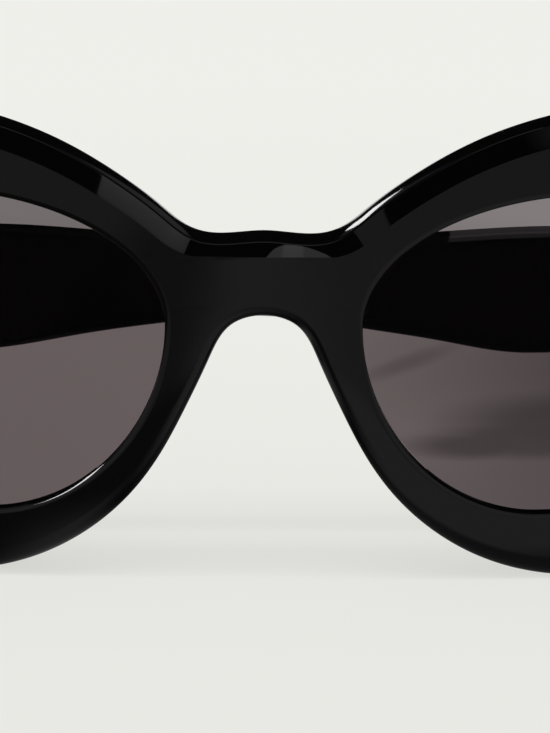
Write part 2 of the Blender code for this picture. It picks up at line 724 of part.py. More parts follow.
def tip_run():
    """Straight run after the bend that brings the rounded tip down to the ground."""
    bend = math.radians(EAR_BEND_ANGLE)
    tip_radius = TIP_HEIGHT_SHARE * TEMPLE_HEIGHT / 2
    drop = HINGE_Z - EAR_BEND_RADIUS * (1.0 - math.cos(bend)) - tip_radius
    return drop / math.sin(bend) + tip_radius


def temple_length():
    return TEMPLE_STRAIGHT + EAR_BEND_RADIUS * math.radians(EAR_BEND_ANGLE) + tip_run()


def temple_point(along):
    """Reference line of the temple: Y, Z and slope angle at a distance from the hinge axis."""
    bend = math.radians(EAR_BEND_ANGLE)
    if along <= TEMPLE_STRAIGHT:
        return along, 0.0, 0.0
    turned = min(bend, (along - TEMPLE_STRAIGHT) / EAR_BEND_RADIUS)
    y = TEMPLE_STRAIGHT + EAR_BEND_RADIUS * math.sin(turned)
    z = -EAR_BEND_RADIUS * (1.0 - math.cos(turned))
    rest = along - TEMPLE_STRAIGHT - EAR_BEND_RADIUS * turned
    return y + rest * math.cos(turned), z - rest * math.sin(turned), turned


def temple_thickness(along):
    return blend(TEMPLE_THICKNESS, TIP_THICKNESS, smoothstep(along, 0.0, temple_length()))


def temple_section(along, shrink):
    """A rounded rectangle across the temple, in hinge coordinates."""
    y, z, slope = temple_point(along)
    upper, lower = temple_edges(along)
    middle = (upper + lower) / 2
    half_height = (upper - lower) / 2 * shrink
    half_width = temple_thickness(along) / 2
    inward = TEMPLE_EDGE_ROUND * (1.0 - shrink)
    half_width -= inward
    radius = min(TEMPLE_EDGE_ROUND, min(half_width, half_height) * CORNER_LIMIT_SHARE)
    points = []
    for corner in range(4):
        for step in range(ROUND_STEPS):
            turn = math.pi / 2 * (corner + step / (ROUND_STEPS - 1))
            across_sign = 1.0 if corner in (0, 3) else -1.0
            up_sign = 1.0 if corner in (0, 1) else -1.0
            across = across_sign * (half_width - radius) + radius * math.cos(turn)
            up = middle + up_sign * (half_height - radius) + radius * math.sin(turn)
            x = TEMPLE_INNER + temple_thickness(along) / 2 + across
            points.append((x, y + up * math.sin(slope), z + up * math.cos(slope)))
    return points


def temple_stations():
    """Distances along the temple, closer where it bends, with a round tip."""
    start = -TEMPLE_INNER + HINGE_CLEARANCE
    tip_radius = TIP_HEIGHT_SHARE * TEMPLE_HEIGHT / 2
    body = temple_length() - tip_radius
    stations = [(start, 1.0), (0.0, 1.0)]
    knots = [share * TEMPLE_STRAIGHT for share, _ in LOWER_EDGE_SHARES[:-1]]
    for before, after in zip(knots, knots[1:]):
        steps = TEMPLE_SPAN_STEPS if after - before > TEMPLE_HEIGHT / 2 else 1
        stations += [(blend(before, after, (step + 1) / steps), 1.0) for step in range(steps)]
    stations += [(at, 1.0) for at in np.linspace(TEMPLE_STRAIGHT, body, TEMPLE_BEND_STEPS)]
    for step in range(1, ROUND_STEPS * 2):
        turn = math.pi / 2 * step / (ROUND_STEPS * 2)
        stations.append((body + tip_radius * math.sin(turn), math.cos(turn)))
    return stations


def cut_core_wire(bm, side):
    wire_tube(bm, side, WIRE_RADIUS + WIRE_CLEARANCE, TEMPLE_LEAF_END, WIRE_CLEARANCE)


def wire_tube(bm, side, radius, start, extra):
    """A tube along the temple's middle line, inside it."""
    end = temple_length() - WIRE_TIP_MARGIN + extra
    rows = []
    for step in range(WIRE_STEPS + 1):
        along = start + (end - start) * step / WIRE_STEPS
        y, z, slope = temple_point(along)
        middle = sum(temple_edges(along)) / 2
        row = []
        for k in range(WIRE_SIDES):
            turn = 2 * math.pi * k / WIRE_SIDES
            up = middle + radius * math.sin(turn)
            x = TEMPLE_INNER + WIRE_DEPTH + radius * math.cos(turn)
            row.append(bm.verts.new((side * x, y + up * math.sin(slope), z + up * math.cos(slope))))
        rows.append(row)
    grid_faces(bm, rows, closed_rows=False)
    bm.faces.new(rows[0])
    bm.faces.new(rows[-1])


def build_temple(name, side, axis):
    bm = bmesh.new()
    rows = []
    for along, shrink in temple_stations():
        points = temple_section(along, shrink)
        rows.append([bm.verts.new((side * x, y, z)) for x, y, z in points])
    grid_faces(bm, rows, closed_rows=False)
    bm.faces.new(rows[0])
    bm.faces.new(rows[-1])
    temple = mesh_object(name, bm, acetate(), axis)
    low, high = temple_leaf_box(LEAF_SEAT_GAP)
    combine(temple, tool_object(lambda b: local_box(b, (low[0] - OVERRUN, low[1], low[2]), high, side)),
            "DIFFERENCE")
    combine(temple, tool_object(lambda b: cut_core_wire(b, side)), "DIFFERENCE")
    for along in (TEMPLE_RIVET_FIRST, TEMPLE_RIVET_SECOND):
        combine(temple, tool_object(lambda b: rod(b, (0.0, along, 0.0),
                                                  (side * TEMPLE_THICKNESS * 2, along, 0.0),
                                                  RIVET_RADIUS + RIVET_CLEARANCE, RIVET_SIDES)),
                "DIFFERENCE")
    return temple


def build_core_wire(name, side, axis):
    bm = bmesh.new()
    wire_tube(bm, side, WIRE_RADIUS, TEMPLE_LEAF_END + LEAF_SEAT_GAP * 2, 0.0)
    return mesh_object(name, bm, steel(), axis)


def build_temple_rivet(name, side, along, axis):
    """Its outer end is filed flush with the temple's outer face."""
    bm = bmesh.new()
    inner = TEMPLE_INNER - RIVET_HEAD_GAP
    outer = TEMPLE_INNER + temple_thickness(along)
    rod(bm, (side * (inner - RIVET_HEAD_HEIGHT / 2), along, 0.0), (side * outer, along, 0.0),
        RIVET_RADIUS, RIVET_SIDES)
    rivet = mesh_object(name, bm, steel(), axis)
    combine(rivet, tool_object(lambda b: rod(b, (side * (inner - RIVET_HEAD_HEIGHT), along, 0.0),
                                             (side * inner, along, 0.0), RIVET_HEAD_RADIUS,
                                             RIVET_SIDES)), "UNION")
    return rivet


def hinge_axis(name, side, degrees):
    """An empty on the hinge axis, turned to the temple's rest angle."""
    axis = bpy.data.objects.new(name, None)
    bpy.context.collection.objects.link(axis)
    axis.location = (side * HINGE_X, HINGE_Y, HINGE_Z)
    axis.rotation_euler = (0.0, 0.0, math.radians(degrees))
    return axis


def build_side(word, side, fold):
    fixed = hinge_axis("hinge_axis_" + word, side, 0.0)
    moving = hinge_axis("temple_axis_" + word, side, fold)
    build_lens("lens_" + word, side)
    build_nose_pad("nose_pad_" + word, side)
    build_front_leaf("front_leaf_" + word, side, fixed)
    build_screw("hinge_screw_" + word, fixed)
    build_front_rivet("front_rivet_upper_" + word, side, 1.0)
    build_front_rivet("front_rivet_lower_" + word, side, -1.0)
    build_temple("temple_" + word, side, moving)
    build_temple_leaf("temple_leaf_" + word, side, moving)
    build_core_wire("core_wire_" + word, side, moving)
    build_temple_rivet("temple_rivet_front_" + word, side, TEMPLE_RIVET_FIRST, moving)
    build_temple_rivet("temple_rivet_rear_" + word, side, TEMPLE_RIVET_SECOND, moving)


def centre_on_base():
    """Move everything so that the origin is at the middle of the base."""
    bpy.context.view_layer.update()
    corners = []
    for item in bpy.data.objects:
        if item.type == "MESH":
            corners += [item.matrix_world @ vert.co for vert in item.data.vertices]
    middle = [(min(c[k] for c in corners) + max(c[k] for c in corners)) / 2 for k in range(2)]
    for item in bpy.data.objects:
        if item.parent is None:
            item.location.x -= middle[0]
            item.location.y -= middle[1]
    print("hinge axes at Y", HINGE_Y - middle[1], "front face at Y", -middle[1])


def main():
    clear_scene()
    build_front()
    build_side("left", 1.0, FOLD_ANGLE)
    build_side("right", -1.0, 0.0)
    centre_on_base()


main()
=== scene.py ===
"""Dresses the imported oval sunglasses: finer surfaces, materials, light and camera."""
import json
import math

import bmesh
import bpy
import numpy as np
from mathutils import Matrix, Vector


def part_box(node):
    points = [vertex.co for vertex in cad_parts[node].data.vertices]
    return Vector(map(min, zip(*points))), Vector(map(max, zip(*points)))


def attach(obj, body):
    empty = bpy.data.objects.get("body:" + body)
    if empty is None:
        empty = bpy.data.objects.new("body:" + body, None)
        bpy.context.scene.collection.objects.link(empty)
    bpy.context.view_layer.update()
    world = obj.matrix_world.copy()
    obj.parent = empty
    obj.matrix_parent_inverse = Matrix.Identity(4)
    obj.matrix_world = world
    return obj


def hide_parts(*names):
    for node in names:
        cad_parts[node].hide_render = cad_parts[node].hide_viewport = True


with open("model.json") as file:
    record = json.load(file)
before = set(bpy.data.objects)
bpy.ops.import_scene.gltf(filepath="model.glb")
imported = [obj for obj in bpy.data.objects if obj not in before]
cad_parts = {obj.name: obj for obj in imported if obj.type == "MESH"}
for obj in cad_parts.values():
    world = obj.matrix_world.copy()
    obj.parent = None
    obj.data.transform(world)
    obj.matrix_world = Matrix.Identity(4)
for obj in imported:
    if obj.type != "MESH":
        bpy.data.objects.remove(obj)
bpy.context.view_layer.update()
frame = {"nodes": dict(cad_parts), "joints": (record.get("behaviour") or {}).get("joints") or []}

MM = 0.001

# The photograph's height in pixels and the camera that took it
FRAME_HEIGHT = 733
VIEW_ELEVATION = 13.0
VIEW_ROLL = 0.52
VIEW_DISTANCE = 500.0 * MM
VIEW_HEIGHT = 22.0 * MM
VIEW_SIDE = 1.17 * MM
VIEW_BEHIND_FRONT = 2.0 * MM
PIXEL = 0.1015 * MM
SENSOR = 36.0
CLIP_RANGE = (0.01, 20.0)

# Lens openings
LENS_WIDTH = 50.0 * MM
LENS_HEIGHT = 33.0 * MM
LENS_GAP = 20.0 * MM
NOSE_HEIGHT_SHARE = 0.592
LOW_POINT_SHARE = 0.365
TOP_POINT_SHARE = 0.466
LOWER_FULLNESS = 1.96
OUTER_LOWER_FULLNESS = 2.3
UPPER_FULLNESS = 2.0

# Rim widths, seen from the front
RIM_BROW = 4.9 * MM
RIM_TOP = 7.6 * MM
RIM_OUTER = 6.8 * MM
RIM_LOW = 6.95 * MM
RIM_NOSE = 3.45 * MM
BROW_WIDTH_SHARES = ((156.0, 1.176), (147.0, 1.03), (134.8, 1.05))
TOP_WIDTH_SHARES = ((119.0, 0.784), (103.5, 0.926), (84.0, 1.07), (63.0, 1.04), (46.0, 1.04),
                    (32.0, 1.09))
OUTER_WIDTH_SHARES = ((337.0, 1.25), (321.0, 1.11), (304.0, 1.07))
LOW_WIDTH_SHARES = ((288.0, 1.0), (275.0, 0.991), (259.5, 0.825), (244.0, 0.697))
NOSE_WIDTH_SHARES = ((226.0, 1.17), (213.0, 1.057), (202.0, 1.069), (188.0, 1.368))

# Bridge, between the two rims
BRIDGE_HEIGHT = 7.5 * MM
BRIDGE_TOP_OVER_NOSE = 8.76 * MM
BRIDGE_FLAT = 6.3 * MM
BRIDGE_DIP = 0.14 * MM
ARCH_HALF_WIDTH = 3.3 * MM
ARCH_SHOULDER = 1.0 * MM

# End pieces, which carry the hinges
END_REACH = 13.2 * MM
END_ABOVE_HINGE = 10.7 * MM
END_BELOW_HINGE = 9.4 * MM
END_SHARES = ((0.5, 1.0), (0.81, 0.67), (0.975, 0.29), (1.0, -0.14), (0.9, -0.57), (0.66, -1.0))

# Thickness and curve of the front, and its worked edges
FRONT_CURVE_RADIUS = 260.0 * MM
RIM_THICKNESS = 8.4 * MM
BRIDGE_THICKNESS = 8.3 * MM
END_SPARE = 0.3 * MM
BROW_BEVEL = 1.95 * MM
BRIDGE_BEVEL = 1.3 * MM
LOW_ROUND = 2.2 * MM
SIDE_ROUND = 1.2 * MM
BACK_ROUND = 0.8 * MM
INNER_CHAMFER = 0.3 * MM
REAR_FLARE = 1.6 * MM
FLARE_TURN_SHARES = (0.1, 0.8)
BEVEL_FULLNESS = 1.06
ROUND_FULLNESS = 2.0
REST_FLAT_DEPTH = 0.12 * MM
WALL_CROWN = 0.12 * MM
CROWN_TURN_SHARES = (0.05, 0.45)
CROWN_BELOW_TOP = 1.4 * MM
INNER_ROLL = 0.7 * MM
LENS_BACK_DROP = 0.27 * MM
DROP_TURN_SHARES = (-0.1, 0.4)
RING_CENTRE_SHARE = 0.35
EDGE_TURN_SHARES = (-0.1, 0.5)

# Lenses and their groove
LENS_RECESS = 0.9 * MM
LENS_THICKNESS = 2.0 * MM
LENS_DOME = 0.8 * MM
LENS_CLEARANCE = 0.01 * MM
GROOVE_DEPTH = 0.9 * MM
GROOVE_WIDTH = 1.5 * MM
LENS_BEVEL_HEIGHT = 0.7 * MM
LENS_BEVEL_WIDTH = 1.1 * MM

# Glued nose pads
PAD_LENGTH = 13.0 * MM
PAD_WIDTH = 3.1 * MM
PAD_HEIGHT = 3.8 * MM
PAD_ANGLE = 199.0
PAD_GAP = 0.1 * MM
PAD_LEAN_SHARE = 0.28
PAD_PLACE_SHARE = 0.56
PAD_ROUND_POWER = 0.6

# Hinges
HINGE_FROM_LENS = 6.0 * MM
HINGE_BELOW_NOSE = 0.3 * MM
MITRE_DEPTH = 15.8 * MM
BARREL_RADIUS = 1.6 * MM
BARREL_STACK = 8.0 * MM
HINGE_CLEARANCE = 0.3 * MM
LEAF_THICKNESS = 1.2 * MM
LEAF_SEAT_GAP = 0.1 * MM
FRONT_LEAF_REACH = 5.0 * MM
FRONT_LEAF_OVERLAP = 0.4 * MM
TEMPLE_LEAF_START = 0.3 * MM
TEMPLE_LEAF_END = 10.5 * MM
RIVET_RADIUS = 0.75 * MM
RIVET_CLEARANCE = 0.08 * MM
FRONT_RIVET_INSET = 3.2 * MM
FRONT_RIVET_SPREAD = 2.3 * MM
TEMPLE_RIVET_FIRST = 3.4 * MM
TEMPLE_RIVET_SECOND = 7.8 * MM

# Temples
BEND_FROM_FAR_HINGE = 35.0 * MM
EAR_BEND_RADIUS = 27.0 * MM
EAR_BEND_ANGLE = 38.0
TEMPLE_HEIGHT = 12.2 * MM
UPPER_EDGE_SHARES = ((0.0, 0.985), (0.2, 1.01), (0.39, 1.06), (0.49, 0.965), (0.61, 0.86),
                     (0.75, 0.86), (0.87, 0.99), (0.97, 1.08), (1.05, 1.05))
LOWER_EDGE_SHARES = ((0.0, 0.87), (0.2, 0.97), (0.38, 1.06), (0.405, 1.06), (0.49, 0.852),
                     (0.566, 0.66), (0.68, 0.435), (0.79, 0.555), (0.88, 0.765), (0.967, 1.0),
                     (1.05, 1.03))
TIP_HEIGHT_SHARE = 0.96
TEMPLE_THICKNESS = 5.0 * MM
TIP_THICKNESS = 4.6 * MM
TEMPLE_EDGE_ROUND = 1.1 * MM
CORNER_LIMIT_SHARE = 0.9
TEMPLE_END_SPARE = 0.001 * MM

# Tools run this far past a surface, closer points are welded, flatter edges are shaded smooth
OVERRUN = 1.0 * MM
WELD_DISTANCE = 0.0001 * MM
SMOOTH_ANGLE = 35.0

# Fineness of the curves and meshes
TURN_STEP = 0.25
CURVE_STEPS = 40
OUTLINE_COUNT = 420
CUT_COUNT = 16
LENS_COUNT = 192
LENS_RINGS = 18
PAD_COUNT = 72
ROUND_STEPS = 8
CROWN_STEPS = 8
CORNER_STEPS = 7
SPAN_STEPS = 9
BEND_STEPS = 44
TIP_STEPS = 14
HOLE_SIDES = 40

# Materials: pairs are the two ends of a range that noise runs through
ACETATE_IOR = 1.5
ACETATE_FINE_SCALE = 900.0
ACETATE_FINE_DETAIL = 3.0
ACETATE_BROAD_SCALE = 60.0
ACETATE_ROUGHNESS = (0.03, 0.075)
ACETATE_COLOURS = ((0.0006, 0.0005, 0.0005, 1.0), (0.0014, 0.0012, 0.0012, 1.0))
POLISH_STRENGTH = 0.05
POLISH_DISTANCE = 0.05 * MM
TINT_IOR = 1.12
TINT_SCALE = 25.0
TINT_COLOURS = ((0.156, 0.126, 0.134, 1.0), (0.168, 0.137, 0.145, 1.0))
# Painted light near the lens top: each channel's lift, where it starts and where it is full
PAINTED_TOP_LIGHT_LIFTS = (1.24, 1.37, 1.36)
PAINTED_TOP_LIGHT_BELOW = (8.0 * MM, 2.0 * MM)
METAL_SCALE = 700.0
METAL_STRETCH = (1.0, 1.0, 14.0)
METAL_ROUGHNESS = (0.22, 0.38)
METAL_COLOURS = ((0.50, 0.48, 0.46, 1.0), (0.66, 0.64, 0.61, 1.0))
METAL_NODES = ("front_leaf", "temple_leaf", "hinge_screw", "front_rivet", "temple_rivet",
               "core_wire")

# Floor as the camera and rays through the lenses see it; Y counts from the front face
FLOOR_HALF = 3.0
FLOOR_ROUGHNESS = 0.6
FLOOR_ALBEDO = (0.82, 0.82, 0.785, 1.0)
FLOOR_GLOW = (0.835, 0.835, 0.797, 1.0)
FLOOR_GLOW_SHARE = 0.8
SEEN_THROUGH_SHARE = 0.9
FLOOR_FADE = (0.96, 1.032)
FLOOR_FADE_Y = (-50.0 * MM, 300.0 * MM)

# Floor as polished surfaces reflect it: tones, and the X or Y range where each one changes
REFLECTED_FAR = (0.11, 0.27, 0.21)
FAR_LEFT_X = (-20.0 * MM, -6.0 * MM)
FAR_RIGHT_X = (0.0, 22.0 * MM)
FAR_END_X = (-45.0 * MM, -30.0 * MM)
REFLECTED_NEAR = (0.05, 0.30)
NEAR_X = (-14.0 * MM, 12.0 * MM)
NEAR_Y = (-97.0 * MM, -70.0 * MM)
REFLECTED_SPOT = 0.26
SPOT_X = -20.0 * MM
SPOT_REACH = 12.0 * MM
SPOT_Y = (-35.0 * MM, -2.0 * MM)
DIMMED_SHARE = 0.35
DIMMED_Y = (-12.0 * MM, -2.0 * MM)
REFLECTED_BACK = 0.8
BACK_Y = (0.0, 100.0 * MM)

# Painted shade on the floor behind the right lens, in place of a second folded temple's shadow,
# seen only through the lenses; soft ovals: X and Y of the centre and half sizes in millimetres,
# turn in degrees, depth, and the share that is firm
PAINTED_FLOOR_SHADES = ((24.3, 58.5, 7.5, 6.3, 20.0, 0.6, 0.4), (31.0, 62.0, 11.0, 9.8, 30.0, 0.58, 0.5),
               (38.0, 68.5, 15.0, 14.5, 0.0, 0.55, 0.55), (45.0, 38.0, 26.0, 24.0, 0.0, 0.32, 0.3),
               (17.2, 100.0, 10.0, 2.0, 61.0, 0.3, 0.2))
# Broad painted shade over the others; the second is painted light, lighter instead of darker
BROAD_PAINTED_SHADE_AND_LIGHT = ((60.0, 95.0, 30.0, 36.0, 0.0, 0.85, 0.0),
                (46.0, 195.0, 30.0, 45.0, 0.0, -0.32, 0.3))

# Soft panels that only polished surfaces reflect, in millimetres: low and high X, low and high Y,
# height, and then the brightness
FAINT_PANEL = (-85.0, -56.0, -60.0, 8.0, 120.0, 0.15)
BRIDGE_PANEL = (0.1, 6.4, -6.1, 1.2, 36.6, 0.33)
TEMPLE_PANEL = (19.0, 37.0, 14.0, 37.0, 40.0, 0.8)
RIM_PANEL = (-130.0, -107.0, -170.0, 70.0, 85.0, 15.0)

# Cards that face the object, in millimetres: centre, a point they look at, width, depth, and
# then the brightness
BROW_CARD = ((19.3, -26.0, 72.3), (-16.5, -26.0, 23.0), 74.0, 28.8, 0.11)
TEMPLE_CARD = ((28.0, 40.0, 33.0), (28.0, 0.0, 33.0), 17.0, 14.0, 0.06)
CARD_SPREAD = 96.0

# Studio light, in metres: strips overhead by distance ahead, depth and brightness, and one lamp
WATTS_PER_BRIGHTNESS = 4.0
STRIPS = (("overhead_strip", 0.25, 0.3, 5.4), ("slanted_strip", 0.85, 0.8, 1.7))
STRIP_HEIGHT = 2.5
STRIP_WIDTH = 3.0
LAMP_PLACE = (-0.335, 1.2, 0.17)
LAMP_AIM = (0.0, 0.0, 0.04)
LAMP_SIZE = (0.21, 0.085)
LAMP_BRIGHTNESS = 1.9

# The room round it: glow on matt surfaces, and the walls that polished ones reflect, each with
# the range of direction where it changes and its tones at the two ends
ROOM_GLOW = 0.69
LEAST_BEHIND = 0.3
RIGHT_WALL = (0.185, 0.21, 0.0, 0.06)
LEFT_WALL = (-0.22, -0.19, 0.03, 0.0)
WALL_TOP = (0.3, 0.45, 1.0, 0.0)
SIDE_WALLS = (0.75, 0.95, 0.003, 0.4)
VIEWER_WALL = (-0.45, -0.7, 0.0, 0.35)
CEILING = (0.6, 0.8, 0.0, 1.0)
CEILING_BEHIND = (0.2, 0.5, 0.0, 0.25)

NOSE_X = LENS_GAP / 2
OUTER_X = NOSE_X + LENS_WIDTH
LOW_X = NOSE_X + LENS_WIDTH * LOW_POINT_SHARE
TOP_X = NOSE_X + LENS_WIDTH * TOP_POINT_SHARE
LENS_LOW = RIM_LOW
LENS_TOP = LENS_LOW + LENS_HEIGHT
NOSE_Z = LENS_LOW + LENS_HEIGHT * NOSE_HEIGHT_SHARE
HINGE_X = OUTER_X + HINGE_FROM_LENS
HINGE_Z = NOSE_Z - HINGE_BELOW_NOSE
HINGE_Y = MITRE_DEPTH + BARREL_RADIUS + HINGE_CLEARANCE
TEMPLE_INNER = BARREL_RADIUS + HINGE_CLEARANCE
TEMPLE_STRAIGHT = HINGE_X * 2 - BEND_FROM_FAR_HINGE
END_THICKNESS = MITRE_DEPTH + END_SPARE - OUTER_X * OUTER_X / (2.0 * FRONT_CURVE_RADIUS)
BRIDGE_TOP = NOSE_Z + BRIDGE_TOP_OVER_NOSE
BRIDGE_LOW = BRIDGE_TOP - BRIDGE_HEIGHT
FRONT_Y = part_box("front_frame")[0].y
FRONT_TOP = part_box("front_frame")[1].z
TEMPLE_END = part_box("temple_right")[1].y - FRONT_Y - HINGE_Y - TEMPLE_END_SPARE


def camera():
    """The photograph's view: level from the front, a little above, rolled very slightly."""
    data = bpy.data.cameras.new("photo_camera")
    data.sensor_fit = "VERTICAL"
    data.sensor_height = SENSOR
    data.lens = SENSOR * VIEW_DISTANCE / (PIXEL * FRAME_HEIGHT)
    data.clip_start, data.clip_end = CLIP_RANGE
    made = bpy.data.objects.new("photo_camera", data)
    bpy.context.scene.collection.objects.link(made)
    raised = math.radians(VIEW_ELEVATION)
    target = Vector((VIEW_SIDE, FRONT_Y + VIEW_BEHIND_FRONT, VIEW_HEIGHT))
    away = Vector((0.0, -math.cos(raised), math.sin(raised)))
    aim = away.to_track_quat("Z", "Y").to_matrix().to_4x4()
    roll = Matrix.Rotation(math.radians(VIEW_ROLL), 4, "Z")
    made.matrix_world = Matrix.Translation(target + away * VIEW_DISTANCE) @ aim @ roll
    bpy.context.scene.camera = made


def smoothstep(value, low, high):
    share = min(1.0, max(0.0, (value - low) / (high - low)))
    return share * share * (3.0 - 2.0 * share)


def blend(first, second, share):
    return first + (second - first) * share


def smooth_through(knots, first_way, last_way):
    """A curve with continuous curvature through the knots, dense points on it."""
    knots = np.array(knots)
    spans = np.linalg.norm(np.diff(knots, axis=0), axis=1)
    count = len(knots)
    matrix = np.zeros((count, count))
    wanted = np.zeros((count, 2))
    matrix[0, 0] = matrix[-1, -1] = 1.0
    wanted[0], wanted[-1] = first_way, last_way
    for i in range(1, count - 1):
        before, after = spans[i - 1], spans[i]
        matrix[i, i - 1] = after
        matrix[i, i] = 2.0 * (before + after)
        matrix[i, i + 1] = before
        wanted[i] = 3.0 * (after / before * (knots[i] - knots[i - 1])
                           + before / after * (knots[i + 1] - knots[i]))
    tangents = np.linalg.solve(matrix, wanted)
    points = []
    for i in range(count - 1):
        for step in range(CURVE_STEPS):
            t = step / CURVE_STEPS
            points.append((2 * t**3 - 3 * t**2 + 1) * knots[i]
                          + (t**3 - 2 * t**2 + t) * spans[i] * tangents[i]
                          + (3 * t**2 - 2 * t**3) * knots[i + 1]
                          + (t**3 - t**2) * spans[i] * tangents[i + 1])
    points.append(knots[-1])
    return np.array(points)


def evenly(points, count):
    """The same open curve with its points at equal steps."""
    steps = np.linalg.norm(np.diff(points, axis=0), axis=1)
    along = np.concatenate(([0.0], np.cumsum(steps)))
    places = np.linspace(0.0, along[-1], count)
    return np.stack([np.interp(places, along, points[:, k]) for k in range(2)], axis=1)


def opening_point(degrees):
    """Lens opening: four quarter ovals, 0 at the outer side, 90 at the top, 180 at the nose."""
    across, up = math.cos(math.radians(degrees)), math.sin(math.radians(degrees))
    upper = up >= 0.0
    centre_x = TOP_X if upper else LOW_X
    reach_x = OUTER_X - centre_x if across >= 0.0 else centre_x - NOSE_X
    reach_z = LENS_TOP - NOSE_Z if upper else NOSE_Z - LENS_LOW
    lower_fullness = OUTER_LOWER_FULLNESS if across >= 0.0 else LOWER_FULLNESS
    power = 2.0 / (UPPER_FULLNESS if upper else lower_fullness)
    return np.array((centre_x + math.copysign(abs(across) ** power, across) * reach_x,
                     NOSE_Z + math.copysign(abs(up) ** power, up) * reach_z))


def opening_normal(degrees):
    way = opening_point(degrees + TURN_STEP) - opening_point(degrees - TURN_STEP)
    return np.array((way[1], -way[0])) / np.linalg.norm(way)


def rim_knots(shares, width):
    return [opening_point(a) + opening_normal(a) * width * share for a, share in shares]


def outline_knots():
    """Right half of the front's outline, from the bridge top over the brow to the nose arch."""
    knots = [np.array((0.0, BRIDGE_TOP)), np.array((BRIDGE_FLAT, BRIDGE_TOP - BRIDGE_DIP))]
    knots += rim_knots(BROW_WIDTH_SHARES, RIM_BROW)
    knots += rim_knots(TOP_WIDTH_SHARES, RIM_TOP)
    for across, up in END_SHARES:
        height = END_ABOVE_HINGE if up > 0.0 else END_BELOW_HINGE
        knots.append(np.array((OUTER_X + END_REACH * across, HINGE_Z + height * up)))
    knots += rim_knots(OUTER_WIDTH_SHARES, RIM_OUTER)
    knots += rim_knots(LOW_WIDTH_SHARES, RIM_LOW)
    knots += rim_knots(NOSE_WIDTH_SHARES, RIM_NOSE)
    knots.append(np.array((ARCH_HALF_WIDTH, BRIDGE_LOW - ARCH_SHOULDER)))
    knots.append(np.array((0.0, BRIDGE_LOW)))
    return knots


def outline_points(count):
    """Outline points with their outward normals."""
    dense = smooth_through(outline_knots(), (1.0, 0.0), (-1.0, 0.0))
    dense[:, 1] -= dense[:, 1].min() + REST_FLAT_DEPTH
    points = evenly(dense, count)
    ways = np.gradient(points, axis=0)
    ways[0], ways[-1] = (1.0, 0.0), (-1.0, 0.0)
    ways /= np.linalg.norm(ways, axis=1)[:, None]
    normals = np.stack([-ways[:, 1], ways[:, 0]], axis=1)
    return points, normals


def front_depth(x):
    return x * x / (2.0 * FRONT_CURVE_RADIUS)


def thickness(x):
    near_bridge = smoothstep(abs(x), BRIDGE_FLAT, NOSE_X)
    near_end = smoothstep(abs(x), TOP_X + LENS_WIDTH * LOW_POINT_SHARE, OUTER_X)
    rim = blend(BRIDGE_THICKNESS, RIM_THICKNESS, near_bridge)
    return blend(rim, END_THICKNESS, near_end)


def edge_size(x, normal):
    """Width of the front edge's bevel or rounding at a place on the outline."""
    at_bridge = 1.0 - smoothstep(abs(x), BRIDGE_FLAT, NOSE_X)
    upper = blend(BROW_BEVEL, BRIDGE_BEVEL, at_bridge)
    lower = blend(LOW_ROUND, SIDE_ROUND, at_bridge)
    vertical = upper if normal[1] > 0.0 else lower
    return blend(SIDE_ROUND, vertical, normal[1] ** 2)


def edge_fullness(normal):
    return blend(ROUND_FULLNESS, BEVEL_FULLNESS, smoothstep(normal[1], *EDGE_TURN_SHARES))


def front_edge(size, fullness, steps):
    """Inset and depth pairs from the front face round to the outer wall."""
    power = 2.0 / fullness
    pairs = []
    for step in range(steps + 1):
        turn = math.pi / 2 * step / steps
        inset = size * (1.0 - math.sin(turn) ** power)
        depth = size * (1.0 - abs(math.cos(turn)) ** power) if step < steps else size
        pairs.append((inset, depth))
    return pairs


def outer_section(point, normal):
    """Inset and depth pairs from the front face over the crowned outer wall to the back."""
    size, back = edge_size(point[0], normal), thickness(point[0])
    crown = WALL_CROWN * smoothstep(normal[1], *CROWN_TURN_SHARES)
    crown *= smoothstep(FRONT_TOP - point[1], 0.0, CROWN_BELOW_TOP)
    pairs = front_edge(size, edge_fullness(normal), ROUND_STEPS)
    for step in range(1, CROWN_STEPS):
        share = step / CROWN_STEPS
        bulge = crown * (1.0 - (2.0 * share - 1.0) ** 2)
        pairs.append((-bulge, blend(size, back - BACK_ROUND, share)))
    for step in range(ROUND_STEPS):
        turn = math.pi / 2 * step / (ROUND_STEPS - 1)
        pairs.append((BACK_ROUND * (1.0 - math.cos(turn)),
                      back - BACK_ROUND * (1.0 - math.sin(turn))))
    return pairs


def ring_centre():
    """A point from which every ray meets the half front's boundary once."""
    return np.array(((NOSE_X + OUTER_X) / 2, BRIDGE_LOW + BRIDGE_HEIGHT * RING_CENTRE_SHARE))


def opening_at(angles):
    """Points and normals of the lens opening on rays from the ring centre."""
    turns = np.arange(0.0, 360.0, TURN_STEP)
    dense = np.array([opening_point(a) for a in turns])
    normals = np.array([opening_normal(a) for a in turns])
    rays = dense - ring_centre()
    bearing = np.unwrap(np.arctan2(rays[:, 1], rays[:, 0]))
    reach = np.concatenate((bearing - 2 * math.pi, bearing, bearing + 2 * math.pi))
    columns = [np.interp(angles, reach, np.tile(c, 3)) for c in (*dense.T, *normals.T)]
    return np.stack(columns[:2], axis=1), np.stack(columns[2:], axis=1)


def place(point, depth):
    """From the front view's X and Z and a depth behind the front face to a point in the frame."""
    return (point[0], FRONT_Y + front_depth(point[0]) + depth, min(max(point[1], 0.0), FRONT_TOP))


def mesh_object(name, bm, finish):
    bm.normal_update()
    bmesh.ops.recalc_face_normals(bm, faces=bm.faces)
    mesh = bpy.data.meshes.new(name)
    bm.to_mesh(mesh)
    bm.free()
    mesh.shade_smooth()
    mesh.set_sharp_from_angle(angle=math.radians(SMOOTH_ANGLE))
    made = bpy.data.objects.new(name, mesh)
    bpy.context.scene.collection.objects.link(made)
    if finish:
        mesh.materials.append(finish)
    return made


